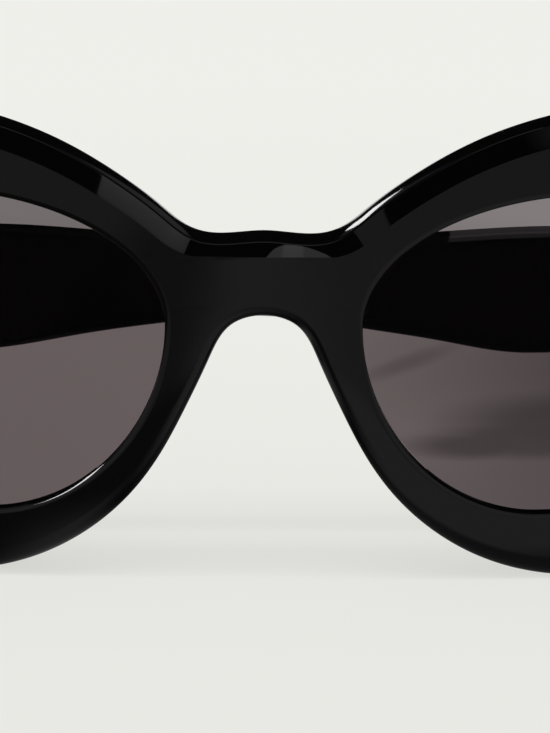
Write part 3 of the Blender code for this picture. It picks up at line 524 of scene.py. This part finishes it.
def combine(target, tool, operation="DIFFERENCE"):
    """Apply one exact Boolean to the target and drop the tool."""
    modifier = target.modifiers.new(operation.lower(), "BOOLEAN")
    modifier.operation = operation
    modifier.solver = "EXACT"
    modifier.object = tool
    bpy.context.view_layer.update()
    shaped = target.evaluated_get(bpy.context.evaluated_depsgraph_get())
    result = bpy.data.meshes.new_from_object(shaped)
    old = target.data
    target.modifiers.clear()
    target.data = result
    bpy.data.meshes.remove(old)
    bpy.data.objects.remove(tool, do_unlink=True)


def even_shading(piece):
    """Shade big faces flat up to their worked edges."""
    modifier = piece.modifiers.new("even_shading", "WEIGHTED_NORMAL")
    modifier.keep_sharp = True


def tool_object(build):
    bm = bmesh.new()
    build(bm)
    return mesh_object("tool", bm, None)


def grid_faces(bm, rows, closed_rows=True, closed_columns=True):
    """Join rows of vertices, where None marks a vertex that isn't there."""
    last_row = len(rows) if closed_rows else len(rows) - 1
    for i in range(last_row):
        row, other = rows[i], rows[(i + 1) % len(rows)]
        last = len(row) if closed_columns else len(row) - 1
        for j in range(last):
            k = (j + 1) % len(row)
            corners = (row[j], row[k], other[k], other[j])
            if all(corners):
                bm.faces.new(corners)


def box(bm, low, high):
    size = Vector(high) - Vector(low)
    centre = (Vector(high) + Vector(low)) / 2
    matrix = Matrix.Translation(centre) @ Matrix.Diagonal((*size, 1.0))
    return bmesh.ops.create_cube(bm, size=1.0, matrix=matrix)["verts"]


def rod(bm, start, end, radius, sides):
    """A closed cylinder between two points."""
    start, end = Vector(start), Vector(end)
    way = end - start
    turn = way.to_track_quat("Z", "Y").to_matrix().to_4x4()
    matrix = Matrix.Translation((start + end) / 2) @ turn
    made = bmesh.ops.create_cone(bm, cap_ends=True, segments=sides, radius1=radius,
                                 radius2=radius, depth=way.length, matrix=matrix)
    return made["verts"]


def opening_drop(normal):
    """How much wider the opening and the lens are at the back, along their lower edge."""
    return LENS_BACK_DROP * smoothstep(-normal[1], *DROP_TURN_SHARES)


def inner_section(x, normal):
    """Offset and depth pairs round the opening's wall, back to front, with the lens groove."""
    back = thickness(x)
    middle = LENS_RECESS + LENS_THICKNESS / 2
    flare = REAR_FLARE * smoothstep(-normal[1], *FLARE_TURN_SHARES)
    drop = opening_drop(normal)
    pairs = []
    for step in range(CORNER_STEPS):
        turn = math.pi / 2 * step / (CORNER_STEPS - 1)
        inset = INNER_CHAMFER * (1.0 - math.sin(turn))
        pairs.append((max(flare, drop) + inset, back - INNER_CHAMFER * (1.0 - math.cos(turn))))
    pairs += [(drop, middle + GROOVE_WIDTH / 2), (drop + GROOVE_DEPTH, middle),
              (0.0, middle - GROOVE_WIDTH / 2)]
    for step in range(CORNER_STEPS):
        turn = math.pi / 2 * step / (CORNER_STEPS - 1)
        pairs.append((INNER_ROLL * (1.0 - math.cos(turn)), INNER_CHAMFER * (1.0 - math.sin(turn))))
    return pairs


def half_front(bm):
    points, normals = outline_points(OUTLINE_COUNT)
    edge_top = front_edge(edge_size(0.0, normals[0]), edge_fullness(normals[0]), ROUND_STEPS)
    edge_low = front_edge(edge_size(0.0, normals[-1]), edge_fullness(normals[-1]), ROUND_STEPS)
    top_z, low_z = points[0][1], points[-1][1]
    boundary = [(p, n, None) for p, n in zip(points, normals)]
    for step in range(1, CUT_COUNT + 1):
        share = step / (CUT_COUNT + 1)
        boundary.append((np.array((0.0, blend(low_z, top_z, share))), None, share))
    rays = np.array([p for p, _, _ in boundary]) - ring_centre()
    inner, inner_normals = opening_at(np.arctan2(rays[:, 1], rays[:, 0]))
    rows = []
    for (point, normal, share), hole, hole_normal in zip(boundary, inner, inner_normals):
        section = [place(hole + hole_normal * off, deep)
                   for off, deep in inner_section(hole[0], hole_normal)]
        if share is None:
            pairs = outer_section(point, normal)
            wall = [place(point - normal * inset, deep) for inset, deep in pairs]
        else:
            front_z = blend(low_z + edge_low[0][0], top_z - edge_top[0][0], share)
            back_z = blend(low_z + BACK_ROUND, top_z - BACK_ROUND, share)
            wall = [place((0.0, front_z), 0.0)]
            wall += [None] * (ROUND_STEPS + ROUND_STEPS + CROWN_STEPS - 2)
            wall.append(place((0.0, back_z), thickness(0.0)))
        middle_front = (np.array(section[-1]) + np.array(wall[0])) / 2
        middle_front[1] = FRONT_Y + front_depth(middle_front[0])
        middle_back = (np.array(section[0]) + np.array(wall[-1])) / 2
        middle_back[1] = FRONT_Y + front_depth(middle_back[0]) + thickness(middle_back[0])
        row = section + [middle_front] + wall + [middle_back]
        rows.append([None if at is None else bm.verts.new(at) for at in row])
    grid_faces(bm, rows)


def hinge_point(side, x, y, z):
    """From hinge coordinates, X outward from the axis, to the frame's coordinates."""
    return (side * (HINGE_X + x), FRONT_Y + HINGE_Y + y, HINGE_Z + z)


def hinge_box(bm, side, low, high):
    start, end = hinge_point(side, *low), hinge_point(side, *high)
    return box(bm, [min(pair) for pair in zip(start, end)], [max(pair) for pair in zip(start, end)])


def cut_end_piece(bm, side):
    hinge_box(bm, side, (-HINGE_FROM_LENS, -TEMPLE_INNER, -LENS_HEIGHT / 2),
              (END_REACH, END_THICKNESS, LENS_HEIGHT / 2))


def cut_leaf_pocket(bm, side):
    low = (-FRONT_LEAF_REACH - LEAF_SEAT_GAP, -TEMPLE_INNER - LEAF_THICKNESS - LEAF_SEAT_GAP,
           -BARREL_STACK / 2 - LEAF_SEAT_GAP)
    high = (FRONT_LEAF_OVERLAP + LEAF_SEAT_GAP, OVERRUN - TEMPLE_INNER,
            BARREL_STACK / 2 + LEAF_SEAT_GAP)
    hinge_box(bm, side, low, high)


def cut_front_rivet(bm, side, level):
    x, z = -FRONT_RIVET_INSET, level * FRONT_RIVET_SPREAD
    rod(bm, hinge_point(side, x, -HINGE_Y, z), hinge_point(side, x, 0.0, z),
        RIVET_RADIUS + RIVET_CLEARANCE, HOLE_SIDES)


def build_front(finish):
    bm = bmesh.new()
    half_front(bm)
    bmesh.ops.recalc_face_normals(bm, faces=bm.faces)
    copied = bmesh.ops.duplicate(bm, geom=bm.verts[:] + bm.edges[:] + bm.faces[:])["geom"]
    verts = [item for item in copied if isinstance(item, bmesh.types.BMVert)]
    faces = [item for item in copied if isinstance(item, bmesh.types.BMFace)]
    for vert in verts:
        vert.co.x = -vert.co.x
    bmesh.ops.reverse_faces(bm, faces=faces)
    bmesh.ops.remove_doubles(bm, verts=bm.verts, dist=WELD_DISTANCE)
    front = mesh_object("front", bm, finish)
    for side in (1.0, -1.0):
        combine(front, tool_object(lambda b: cut_end_piece(b, side)))
        combine(front, tool_object(lambda b: cut_leaf_pocket(b, side)))
        for level in (1.0, -1.0):
            combine(front, tool_object(lambda b: cut_front_rivet(b, side, level)))
    even_shading(front)
    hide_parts("front_frame")
    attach(front, "front")


def build_lens(word, side, finish):
    bm = bmesh.new()
    turns = np.linspace(0.0, 2 * math.pi, LENS_COUNT, endpoint=False)
    points, normals = opening_at(turns)
    points = points - normals * LENS_CLEARANCE
    centre = ring_centre()
    shoulder = (LENS_THICKNESS - LENS_BEVEL_WIDTH) / 2
    back = LENS_RECESS + LENS_THICKNESS
    rows = []
    for point, normal in zip(points, normals):
        drop = opening_drop(normal)
        edge = ((0.0, LENS_RECESS), (0.0, LENS_RECESS + shoulder),
                (LENS_BEVEL_HEIGHT + drop, LENS_RECESS + LENS_THICKNESS / 2),
                (drop, back - shoulder), (drop, back))
        section = []
        for ring in range(1, LENS_RINGS):
            share = ring / LENS_RINGS
            dome = LENS_DOME * (1.0 - share * share)
            section.append((centre + (point - centre) * share, LENS_RECESS - dome))
        section += [(point + normal * off, deep) for off, deep in edge]
        for ring in range(LENS_RINGS - 1, 0, -1):
            share = ring / LENS_RINGS
            dome = LENS_DOME * (1.0 - share * share)
            section.append((centre + (point + normal * drop - centre) * share, back - dome))
        rows.append([bm.verts.new(place(p, deep)) for p, deep in section])
    grid_faces(bm, rows, closed_columns=False)
    for column, deep in ((0, LENS_RECESS - LENS_DOME), (-1, back - LENS_DOME)):
        middle = bm.verts.new(place(centre, deep))
        for i, row in enumerate(rows):
            bm.faces.new((row[column], rows[(i + 1) % len(rows)][column], middle))
    bmesh.ops.scale(bm, vec=(side, 1.0, 1.0), verts=bm.verts)
    lens = mesh_object("tinted_lens_" + word, bm, finish)
    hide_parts("lens_" + word)
    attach(lens, "front")


def build_nose_pad(word, side, finish):
    """A drop-shaped pad on the back of the rim, leaning towards the nose."""
    bm = bmesh.new()
    start, normal = opening_point(PAD_ANGLE), opening_normal(PAD_ANGLE)
    along = np.array((normal[1], -normal[0]))
    centre = start + normal * RIM_NOSE * PAD_PLACE_SHARE
    base = RIM_THICKNESS + PAD_GAP
    rows = []
    for level in range(ROUND_STEPS * 2):
        rise = math.sin(math.pi / 2 * level / (ROUND_STEPS * 2))
        spread = math.cos(math.pi / 2 * level / (ROUND_STEPS * 2)) ** PAD_ROUND_POWER
        row = []
        for step in range(PAD_COUNT):
            turn = 2 * math.pi * step / PAD_COUNT
            point = (centre + along * math.cos(turn) * PAD_LENGTH / 2 * spread
                     + normal * math.sin(turn) * PAD_WIDTH / 2 * spread
                     + normal * PAD_WIDTH * PAD_LEAN_SHARE * rise * rise)
            row.append(bm.verts.new(place(point, base + PAD_HEIGHT * rise)))
        rows.append(row)
    grid_faces(bm, rows, closed_rows=False)
    bm.faces.new(rows[0])
    bm.faces.new(rows[-1])
    bmesh.ops.scale(bm, vec=(side, 1.0, 1.0), verts=bm.verts)
    pad = mesh_object("pad_" + word, bm, finish)
    even_shading(pad)
    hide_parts("nose_pad_" + word)
    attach(pad, "front")


def temple_edge_curves():
    """Upper and lower edge over the hinge line, smooth runs through the listed shares."""
    curves = []
    for shares, side in ((UPPER_EDGE_SHARES, 1.0), (LOWER_EDGE_SHARES, -1.0)):
        knots = [(at * TEMPLE_STRAIGHT, side * share * TEMPLE_HEIGHT / 2) for at, share in shares]
        knots.append((temple_length(), side * TIP_HEIGHT_SHARE * TEMPLE_HEIGHT / 2))
        curves.append(smooth_through(knots, (1.0, 0.0), (1.0, 0.0)))
    return curves


def tip_run():
    """Straight run after the bend that brings the rounded tip down to the ground."""
    bend = math.radians(EAR_BEND_ANGLE)
    tip_radius = TIP_HEIGHT_SHARE * TEMPLE_HEIGHT / 2
    drop = HINGE_Z - EAR_BEND_RADIUS * (1.0 - math.cos(bend)) - tip_radius
    return drop / math.sin(bend) + tip_radius


def temple_length():
    return TEMPLE_STRAIGHT + EAR_BEND_RADIUS * math.radians(EAR_BEND_ANGLE) + tip_run()


def temple_point(along):
    """Reference line of the temple: Y, Z and slope angle at a distance from the hinge axis."""
    bend = math.radians(EAR_BEND_ANGLE)
    if along <= TEMPLE_STRAIGHT:
        return along, 0.0, 0.0
    turned = min(bend, (along - TEMPLE_STRAIGHT) / EAR_BEND_RADIUS)
    y = TEMPLE_STRAIGHT + EAR_BEND_RADIUS * math.sin(turned)
    z = -EAR_BEND_RADIUS * (1.0 - math.cos(turned))
    rest = along - TEMPLE_STRAIGHT - EAR_BEND_RADIUS * turned
    return y + rest * math.cos(turned), z - rest * math.sin(turned), turned


def temple_thickness(along):
    return blend(TEMPLE_THICKNESS, TIP_THICKNESS, smoothstep(along, 0.0, temple_length()))


def temple_section(along, shrink, curves):
    """A rounded rectangle across the temple, in hinge coordinates."""
    y, z, slope = temple_point(along)
    upper, lower = (float(np.interp(along, curve[:, 0], curve[:, 1])) for curve in curves)
    middle = (upper + lower) / 2
    half_height = (upper - lower) / 2 * shrink
    half_width = temple_thickness(along) / 2
    half_width -= TEMPLE_EDGE_ROUND * (1.0 - shrink)
    radius = min(TEMPLE_EDGE_ROUND, min(half_width, half_height) * CORNER_LIMIT_SHARE)
    points = []
    for corner in range(4):
        across_sign = 1.0 if corner in (0, 3) else -1.0
        up_sign = 1.0 if corner in (0, 1) else -1.0
        for step in range(CORNER_STEPS):
            turn = math.pi / 2 * (corner + step / (CORNER_STEPS - 1))
            across = across_sign * (half_width - radius) + radius * math.cos(turn)
            up = middle + up_sign * (half_height - radius) + radius * math.sin(turn)
            x = TEMPLE_INNER + temple_thickness(along) / 2 + across
            over, rise = y + up * math.sin(slope), z + up * math.cos(slope)
            points.append((x, min(over, TEMPLE_END), max(rise, -HINGE_Z)))
    return points


def temple_stations():
    """Distances along the temple, closer where it bends, with a rounded butt and tip."""
    start = HINGE_CLEARANCE - TEMPLE_INNER
    tip_radius = TIP_HEIGHT_SHARE * TEMPLE_HEIGHT / 2
    body = temple_length() - tip_radius
    stations = [(start, 1.0)]
    knots = [0.0] + [share * TEMPLE_STRAIGHT for share, _ in LOWER_EDGE_SHARES[1:-1]]
    for before, after in zip([start] + knots, knots):
        stations += [(blend(before, after, (step + 1) / SPAN_STEPS), 1.0)
                     for step in range(SPAN_STEPS)]
    stations += [(at, 1.0) for at in np.linspace(TEMPLE_STRAIGHT, body, BEND_STEPS)]
    for step in range(1, TIP_STEPS):
        turn = math.pi / 2 * step / TIP_STEPS
        stations.append((body + tip_radius * math.sin(turn), math.cos(turn)))
    return stations


def leaf_box(grow):
    low = (TEMPLE_INNER, TEMPLE_LEAF_START - grow, -BARREL_STACK / 2 - grow)
    high = (TEMPLE_INNER + LEAF_THICKNESS + grow, TEMPLE_LEAF_END + grow, BARREL_STACK / 2 + grow)
    return low, high


def mirrored_box(bm, low, high, side):
    for vert in box(bm, low, high):
        vert.co.x *= side


def build_temple(word, side, finish):
    bm = bmesh.new()
    rows = []
    curves = temple_edge_curves()
    for along, shrink in temple_stations():
        points = temple_section(along, shrink, curves)
        rows.append([bm.verts.new((side * x, y, z)) for x, y, z in points])
    grid_faces(bm, rows, closed_rows=False)
    bm.faces.new(rows[0])
    bm.faces.new(rows[-1])
    arm = mesh_object("arm_" + word, bm, finish)
    low, high = leaf_box(LEAF_SEAT_GAP)
    low = (low[0] - OVERRUN, low[1], low[2])
    combine(arm, tool_object(lambda b: mirrored_box(b, low, high, side)))
    for along in (TEMPLE_RIVET_FIRST, TEMPLE_RIVET_SECOND):
        start, end = (0.0, along, 0.0), (side * TEMPLE_THICKNESS * 2, along, 0.0)
        radius = RIVET_RADIUS + RIVET_CLEARANCE
        combine(arm, tool_object(lambda b: rod(b, start, end, radius, HOLE_SIDES)))
    even_shading(arm)
    hinge = next(joint for joint in frame["joints"] if joint["child"] == word + "_temple")
    folded = -min(hinge["range_deg"]) if side > 0.0 else 0.0
    turn = Matrix.Rotation(math.radians(folded), 4, "Z")
    arm.matrix_world = Matrix.Translation(Vector(hinge["pos_m"])) @ turn
    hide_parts("temple_" + word)
    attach(arm, word + "_temple")


def principled(name, **sockets):
    made = bpy.data.materials.new(name)
    made.use_nodes = True
    shader = made.node_tree.nodes["Principled BSDF"]
    for socket, value in sockets.items():
        shader.inputs[socket.replace("_", " ")].default_value = value
    return made, made.node_tree, shader


def add_node(tree, kind, **settings):
    node = tree.nodes.new(kind)
    for key, value in settings.items():
        setattr(node, key, value)
    return node


def map_range(tree, value, low, high, to_low, to_high, smooth=True):
    kind = "SMOOTHSTEP" if smooth else "LINEAR"
    node = add_node(tree, "ShaderNodeMapRange", interpolation_type=kind)
    sockets = ("From Min", "From Max", "To Min", "To Max")
    for socket, number in zip(sockets, (low, high, to_low, to_high)):
        node.inputs[socket].default_value = number
    tree.links.new(value, node.inputs["Value"])
    return node.outputs["Result"]


def maths(tree, operation, first, second=None):
    node = add_node(tree, "ShaderNodeMath", operation=operation)
    for index, value in enumerate((first, second)):
        if isinstance(value, float):
            node.inputs[index].default_value = value
        elif value is not None:
            tree.links.new(value, node.inputs[index])
    return node.outputs[0]


def noise(tree, place_socket, scale, detail=2.0):
    node = add_node(tree, "ShaderNodeTexNoise")
    node.inputs["Scale"].default_value = scale
    node.inputs["Detail"].default_value = detail
    tree.links.new(place_socket, node.inputs["Vector"])
    return node.outputs["Fac"]


def between_colours(tree, share, colours):
    ramp = add_node(tree, "ShaderNodeValToRGB")
    for element, colour in zip(ramp.color_ramp.elements, colours):
        element.color = colour
    tree.links.new(share, ramp.inputs["Fac"])
    return ramp.outputs["Color"]


def emission(tree, strength):
    node = add_node(tree, "ShaderNodeEmission")
    tree.links.new(strength, node.inputs["Strength"])
    return node.outputs[0]


def mixed(tree, share, first, second):
    node = add_node(tree, "ShaderNodeMixShader")
    for index, socket in enumerate((share, first, second)):
        tree.links.new(socket, node.inputs[index])
    return node.outputs[0]


def acetate():
    """Polished black acetate, with faint polishing waviness and a touch of colour variation."""
    made, tree, shader = principled("polished_acetate", IOR=ACETATE_IOR)
    place_socket = add_node(tree, "ShaderNodeTexCoord").outputs["Object"]
    fine = noise(tree, place_socket, ACETATE_FINE_SCALE, ACETATE_FINE_DETAIL)
    broad = noise(tree, place_socket, ACETATE_BROAD_SCALE)
    rough = map_range(tree, fine, 0.0, 1.0, *ACETATE_ROUGHNESS, False)
    tree.links.new(rough, shader.inputs["Roughness"])
    tree.links.new(between_colours(tree, broad, ACETATE_COLOURS), shader.inputs["Base Color"])
    bump = add_node(tree, "ShaderNodeBump")
    bump.inputs["Strength"].default_value = POLISH_STRENGTH
    bump.inputs["Distance"].default_value = POLISH_DISTANCE
    tree.links.new(broad, bump.inputs["Height"])
    tree.links.new(bump.outputs["Normal"], shader.inputs["Normal"])
    return made


def smoke_lens():
    """Warm grey tint through the whole lens, with painted light making it lighter near the top."""
    made, tree, shader = principled("smoke_tint", Roughness=0.0, IOR=TINT_IOR,
                                    Transmission_Weight=1.0)
    place_socket = add_node(tree, "ShaderNodeTexCoord").outputs["Object"]
    colour = between_colours(tree, noise(tree, place_socket, TINT_SCALE), TINT_COLOURS)
    split = add_node(tree, "ShaderNodeSeparateXYZ")
    tree.links.new(place_socket, split.inputs[0])
    # Painted light: the tint is lifted near the lens top
    low, high = (LENS_TOP - below for below in PAINTED_TOP_LIGHT_BELOW)
    lighter = add_node(tree, "ShaderNodeCombineXYZ")
    for channel, most in enumerate(PAINTED_TOP_LIGHT_LIFTS):
        share = map_range(tree, split.outputs["Z"], low, high, 1.0, most)
        tree.links.new(share, lighter.inputs[channel])
    lift = add_node(tree, "ShaderNodeVectorMath", operation="MULTIPLY")
    tree.links.new(colour, lift.inputs[0])
    tree.links.new(lighter.outputs["Vector"], lift.inputs[1])
    tree.links.new(lift.outputs["Vector"], shader.inputs["Base Color"])
    return made


def brushed_metal():
    made, tree, shader = principled("brushed_hinge_metal", Metallic=1.0)
    stretch = add_node(tree, "ShaderNodeMapping")
    stretch.inputs["Scale"].default_value = METAL_STRETCH
    place_node = add_node(tree, "ShaderNodeTexCoord")
    tree.links.new(place_node.outputs["Object"], stretch.inputs["Vector"])
    grain = noise(tree, stretch.outputs["Vector"], METAL_SCALE)
    tree.links.new(between_colours(tree, grain, METAL_COLOURS), shader.inputs["Base Color"])
    rough = map_range(tree, grain, 0.0, 1.0, *METAL_ROUGHNESS, False)
    tree.links.new(rough, shader.inputs["Roughness"])
    return made


def dress_metal_nodes(finish):
    """Hinge leaves, screws, rivets and wires keep their CAD shape and get the metal finish."""
    for name, node in frame["nodes"].items():
        if name.startswith(METAL_NODES):
            node.data.materials.clear()
            node.data.materials.append(finish)


def from_front(distances):
    """Y in the frame for distances behind the front face."""
    return [FRONT_Y + distance for distance in distances]


def shade(tree, place_socket, spec):
    """A soft oval of painted shade on the floor: 1 outside, darker towards its centre."""
    x, behind, half_long, half_wide, degrees, depth, firm = spec
    shift = add_node(tree, "ShaderNodeMapping", vector_type="TEXTURE")
    shift.inputs["Location"].default_value = (x * MM, FRONT_Y + behind * MM, 0.0)
    shift.inputs["Rotation"].default_value = (0.0, 0.0, math.radians(degrees))
    shift.inputs["Scale"].default_value = (half_long * MM, half_wide * MM, 1.0)
    tree.links.new(place_socket, shift.inputs["Vector"])
    reach = add_node(tree, "ShaderNodeVectorMath", operation="LENGTH")
    tree.links.new(shift.outputs["Vector"], reach.inputs[0])
    return map_range(tree, reach.outputs["Value"], firm, 2.0 - firm, 1.0 - depth, 1.0)


def reflected_floor(tree, x, y):
    """Brightness of the floor in polished surfaces: far ahead, near, close up and behind."""
    left, middle, right = REFLECTED_FAR
    far = maths(tree, "MINIMUM", map_range(tree, x, *FAR_LEFT_X, left, middle),
                map_range(tree, x, *FAR_RIGHT_X, middle, right))
    far = maths(tree, "ADD", far, map_range(tree, x, *FAR_END_X, right - left, 0.0))
    near = map_range(tree, x, *NEAR_X, *REFLECTED_NEAR)
    nearness = map_range(tree, y, *from_front(NEAR_Y), 0.0, 1.0)
    change = maths(tree, "MULTIPLY", maths(tree, "SUBTRACT", near, far), nearness)
    ahead = maths(tree, "ADD", far, change)
    dim = map_range(tree, y, *from_front(DIMMED_Y), 1.0, DIMMED_SHARE)
    dimmed = maths(tree, "MULTIPLY", ahead, dim)
    from_spot = maths(tree, "ABSOLUTE", maths(tree, "SUBTRACT", x, SPOT_X))
    spot = map_range(tree, from_spot, 0.0, SPOT_REACH, REFLECTED_SPOT, 0.0)
    closeness = map_range(tree, y, *from_front(SPOT_Y), 0.0, 1.0)
    front = maths(tree, "ADD", dimmed, maths(tree, "MULTIPLY", spot, closeness))
    back = map_range(tree, y, *from_front(BACK_Y), 0.0, REFLECTED_BACK)
    return maths(tree, "MAXIMUM", front, back)


def floor_material():
    """Pale for the camera and through the lenses, dimmer in polished surfaces."""
    made, tree, shader = principled("pale_floor", Base_Color=FLOOR_ALBEDO,
                                    Roughness=FLOOR_ROUGHNESS, Specular_IOR_Level=0.0)
    place_socket = add_node(tree, "ShaderNodeTexCoord").outputs["Object"]
    split = add_node(tree, "ShaderNodeSeparateXYZ")
    tree.links.new(place_socket, split.inputs[0])
    rays = add_node(tree, "ShaderNodeLightPath").outputs
    fade = map_range(tree, split.outputs["Y"], *from_front(FLOOR_FADE_Y), *FLOOR_FADE, False)
    # Painted shade, and one patch of painted light, on the floor where the lenses show it
    painted_light_and_shade = 1.0
    for spec in PAINTED_FLOOR_SHADES:
        painted_light_and_shade = maths(tree, "MINIMUM", shade(tree, place_socket, spec), painted_light_and_shade)
    for spec in BROAD_PAINTED_SHADE_AND_LIGHT:
        painted_light_and_shade = maths(tree, "MULTIPLY", shade(tree, place_socket, spec), painted_light_and_shade)
    through = maths(tree, "MULTIPLY", rays["Is Transmission Ray"], painted_light_and_shade)
    plain = maths(tree, "SUBTRACT", 1.0, rays["Is Transmission Ray"])
    strength = maths(tree, "MULTIPLY", fade, maths(tree, "ADD", through, plain))
    seen = maths(tree, "MULTIPLY", rays["Is Camera Ray"], FLOOR_GLOW_SHARE)
    seen_through = maths(tree, "MULTIPLY", rays["Is Transmission Ray"], SEEN_THROUGH_SHARE)
    glow = emission(tree, strength)
    glow.node.inputs["Color"].default_value = FLOOR_GLOW
    lit = mixed(tree, maths(tree, "MAXIMUM", seen, seen_through), shader.outputs[0], glow)
    # A ray through a lens counts as glossy too, so those are taken off again
    off_surfaces = maths(tree, "SUBTRACT", rays["Is Glossy Ray"], rays["Is Transmission Ray"])
    mirrored = emission(tree, reflected_floor(tree, split.outputs["X"], split.outputs["Y"]))
    final = mixed(tree, maths(tree, "MAXIMUM", off_surfaces, 0.0), lit, mirrored)
    tree.links.new(final, tree.nodes["Material Output"].inputs["Surface"])
    return made


def build_floor():
    bm = bmesh.new()
    bmesh.ops.create_grid(bm, x_segments=1, y_segments=1, size=FLOOR_HALF)
    floor = mesh_object("floor", bm, floor_material())


def area_light(name, at, towards, width, depth, brightness, shape="RECTANGLE"):
    data = bpy.data.lights.new(name, "AREA")
    data.shape = shape
    data.size = width
    data.size_y = depth
    data.energy = WATTS_PER_BRIGHTNESS * width * depth * brightness
    made = bpy.data.objects.new(name, data)
    bpy.context.scene.collection.objects.link(made)
    turn = (Vector(towards) - Vector(at)).to_track_quat("-Z", "Y").to_matrix().to_4x4()
    made.matrix_world = Matrix.Translation(Vector(at)) @ turn
    return made


def only_reflected(light):
    light.visible_camera = False
    light.visible_diffuse = False
    light.visible_transmission = False


def card(name, spec):
    """A small card that faces the object and shows only in polished surfaces."""
    at, towards, width, depth, brightness = spec
    at, towards = (Vector((x * MM, FRONT_Y + y * MM, z * MM)) for x, y, z in (at, towards))
    made = area_light(name, at, towards, width * MM, depth * MM, brightness)
    made.data.spread = math.radians(CARD_SPREAD)
    only_reflected(made)


def panel(name, spec, shape="RECTANGLE"):
    """A small soft panel that faces down and shows only in polished surfaces."""
    low_x, high_x, low_y, high_y, height = (size * MM for size in spec[:-1])
    at = Vector(((low_x + high_x) / 2, FRONT_Y + (low_y + high_y) / 2, height))
    below = at - Vector((0.0, 0.0, 1.0))
    made = area_light(name, at, below, high_x - low_x, high_y - low_y, spec[-1], shape)
    only_reflected(made)


def build_world():
    """A soft room: an even glow for matt surfaces, darker walls in reflections."""
    world = bpy.data.worlds.new("studio")
    bpy.context.scene.world = world
    world.use_nodes = True
    tree = world.node_tree
    soft = tree.nodes["Background"]
    soft.inputs["Color"].default_value = (1.0, 1.0, 1.0, 1.0)
    soft.inputs["Strength"].default_value = ROOM_GLOW
    place_node = add_node(tree, "ShaderNodeTexCoord")
    split = add_node(tree, "ShaderNodeSeparateXYZ")
    tree.links.new(place_node.outputs["Generated"], split.inputs[0])
    x, y, z = split.outputs
    slant = maths(tree, "DIVIDE", x, maths(tree, "MAXIMUM", y, LEAST_BEHIND))
    right = map_range(tree, slant, *RIGHT_WALL)
    left = map_range(tree, slant, *LEFT_WALL)
    low = map_range(tree, z, *WALL_TOP)
    walls = maths(tree, "MULTIPLY", maths(tree, "ADD", right, left), low)
    sides = map_range(tree, maths(tree, "ABSOLUTE", x), *SIDE_WALLS)
    viewer = map_range(tree, y, *VIEWER_WALL)
    above = maths(tree, "MULTIPLY", map_range(tree, z, *CEILING),
                  map_range(tree, y, *CEILING_BEHIND))
    room = maths(tree, "MAXIMUM", maths(tree, "MAXIMUM", sides, viewer), above)
    dark = add_node(tree, "ShaderNodeBackground")
    tree.links.new(maths(tree, "ADD", walls, room), dark.inputs["Strength"])
    path = add_node(tree, "ShaderNodeLightPath")
    final = mixed(tree, path.outputs["Is Glossy Ray"], soft.outputs[0], dark.outputs[0])
    tree.links.new(final, tree.nodes["World Output"].inputs["Surface"])


def build_light():
    build_world()
    for name, ahead, depth, brightness in STRIPS:
        at = Vector((0.0, FRONT_Y - ahead, STRIP_HEIGHT))
        below = Vector((0.0, FRONT_Y - ahead, 0.0))
        strip = area_light(name, at, below, STRIP_WIDTH, depth, brightness)
        strip.visible_glossy = False
    card("brow_card", BROW_CARD)
    card("temple_card", TEMPLE_CARD)
    panel("faint_panel", FAINT_PANEL)
    panel("bridge_panel", BRIDGE_PANEL, "ELLIPSE")
    panel("temple_panel", TEMPLE_PANEL)
    panel("rim_panel", RIM_PANEL)
    front = Vector((0.0, FRONT_Y, 0.0))
    lamp = area_light("far_lamp", Vector(LAMP_PLACE) + front, Vector(LAMP_AIM) + front,
                      *LAMP_SIZE, LAMP_BRIGHTNESS)
    only_reflected(lamp)


camera()
bpy.context.scene.view_settings.view_transform = "Standard"
black = acetate()
tint = smoke_lens()
build_front(black)
for word, side in (("left", 1.0), ("right", -1.0)):
    build_lens(word, side, tint)
    build_nose_pad(word, side, black)
    build_temple(word, side, black)
dress_metal_nodes(brushed_metal())
build_floor()
build_light()
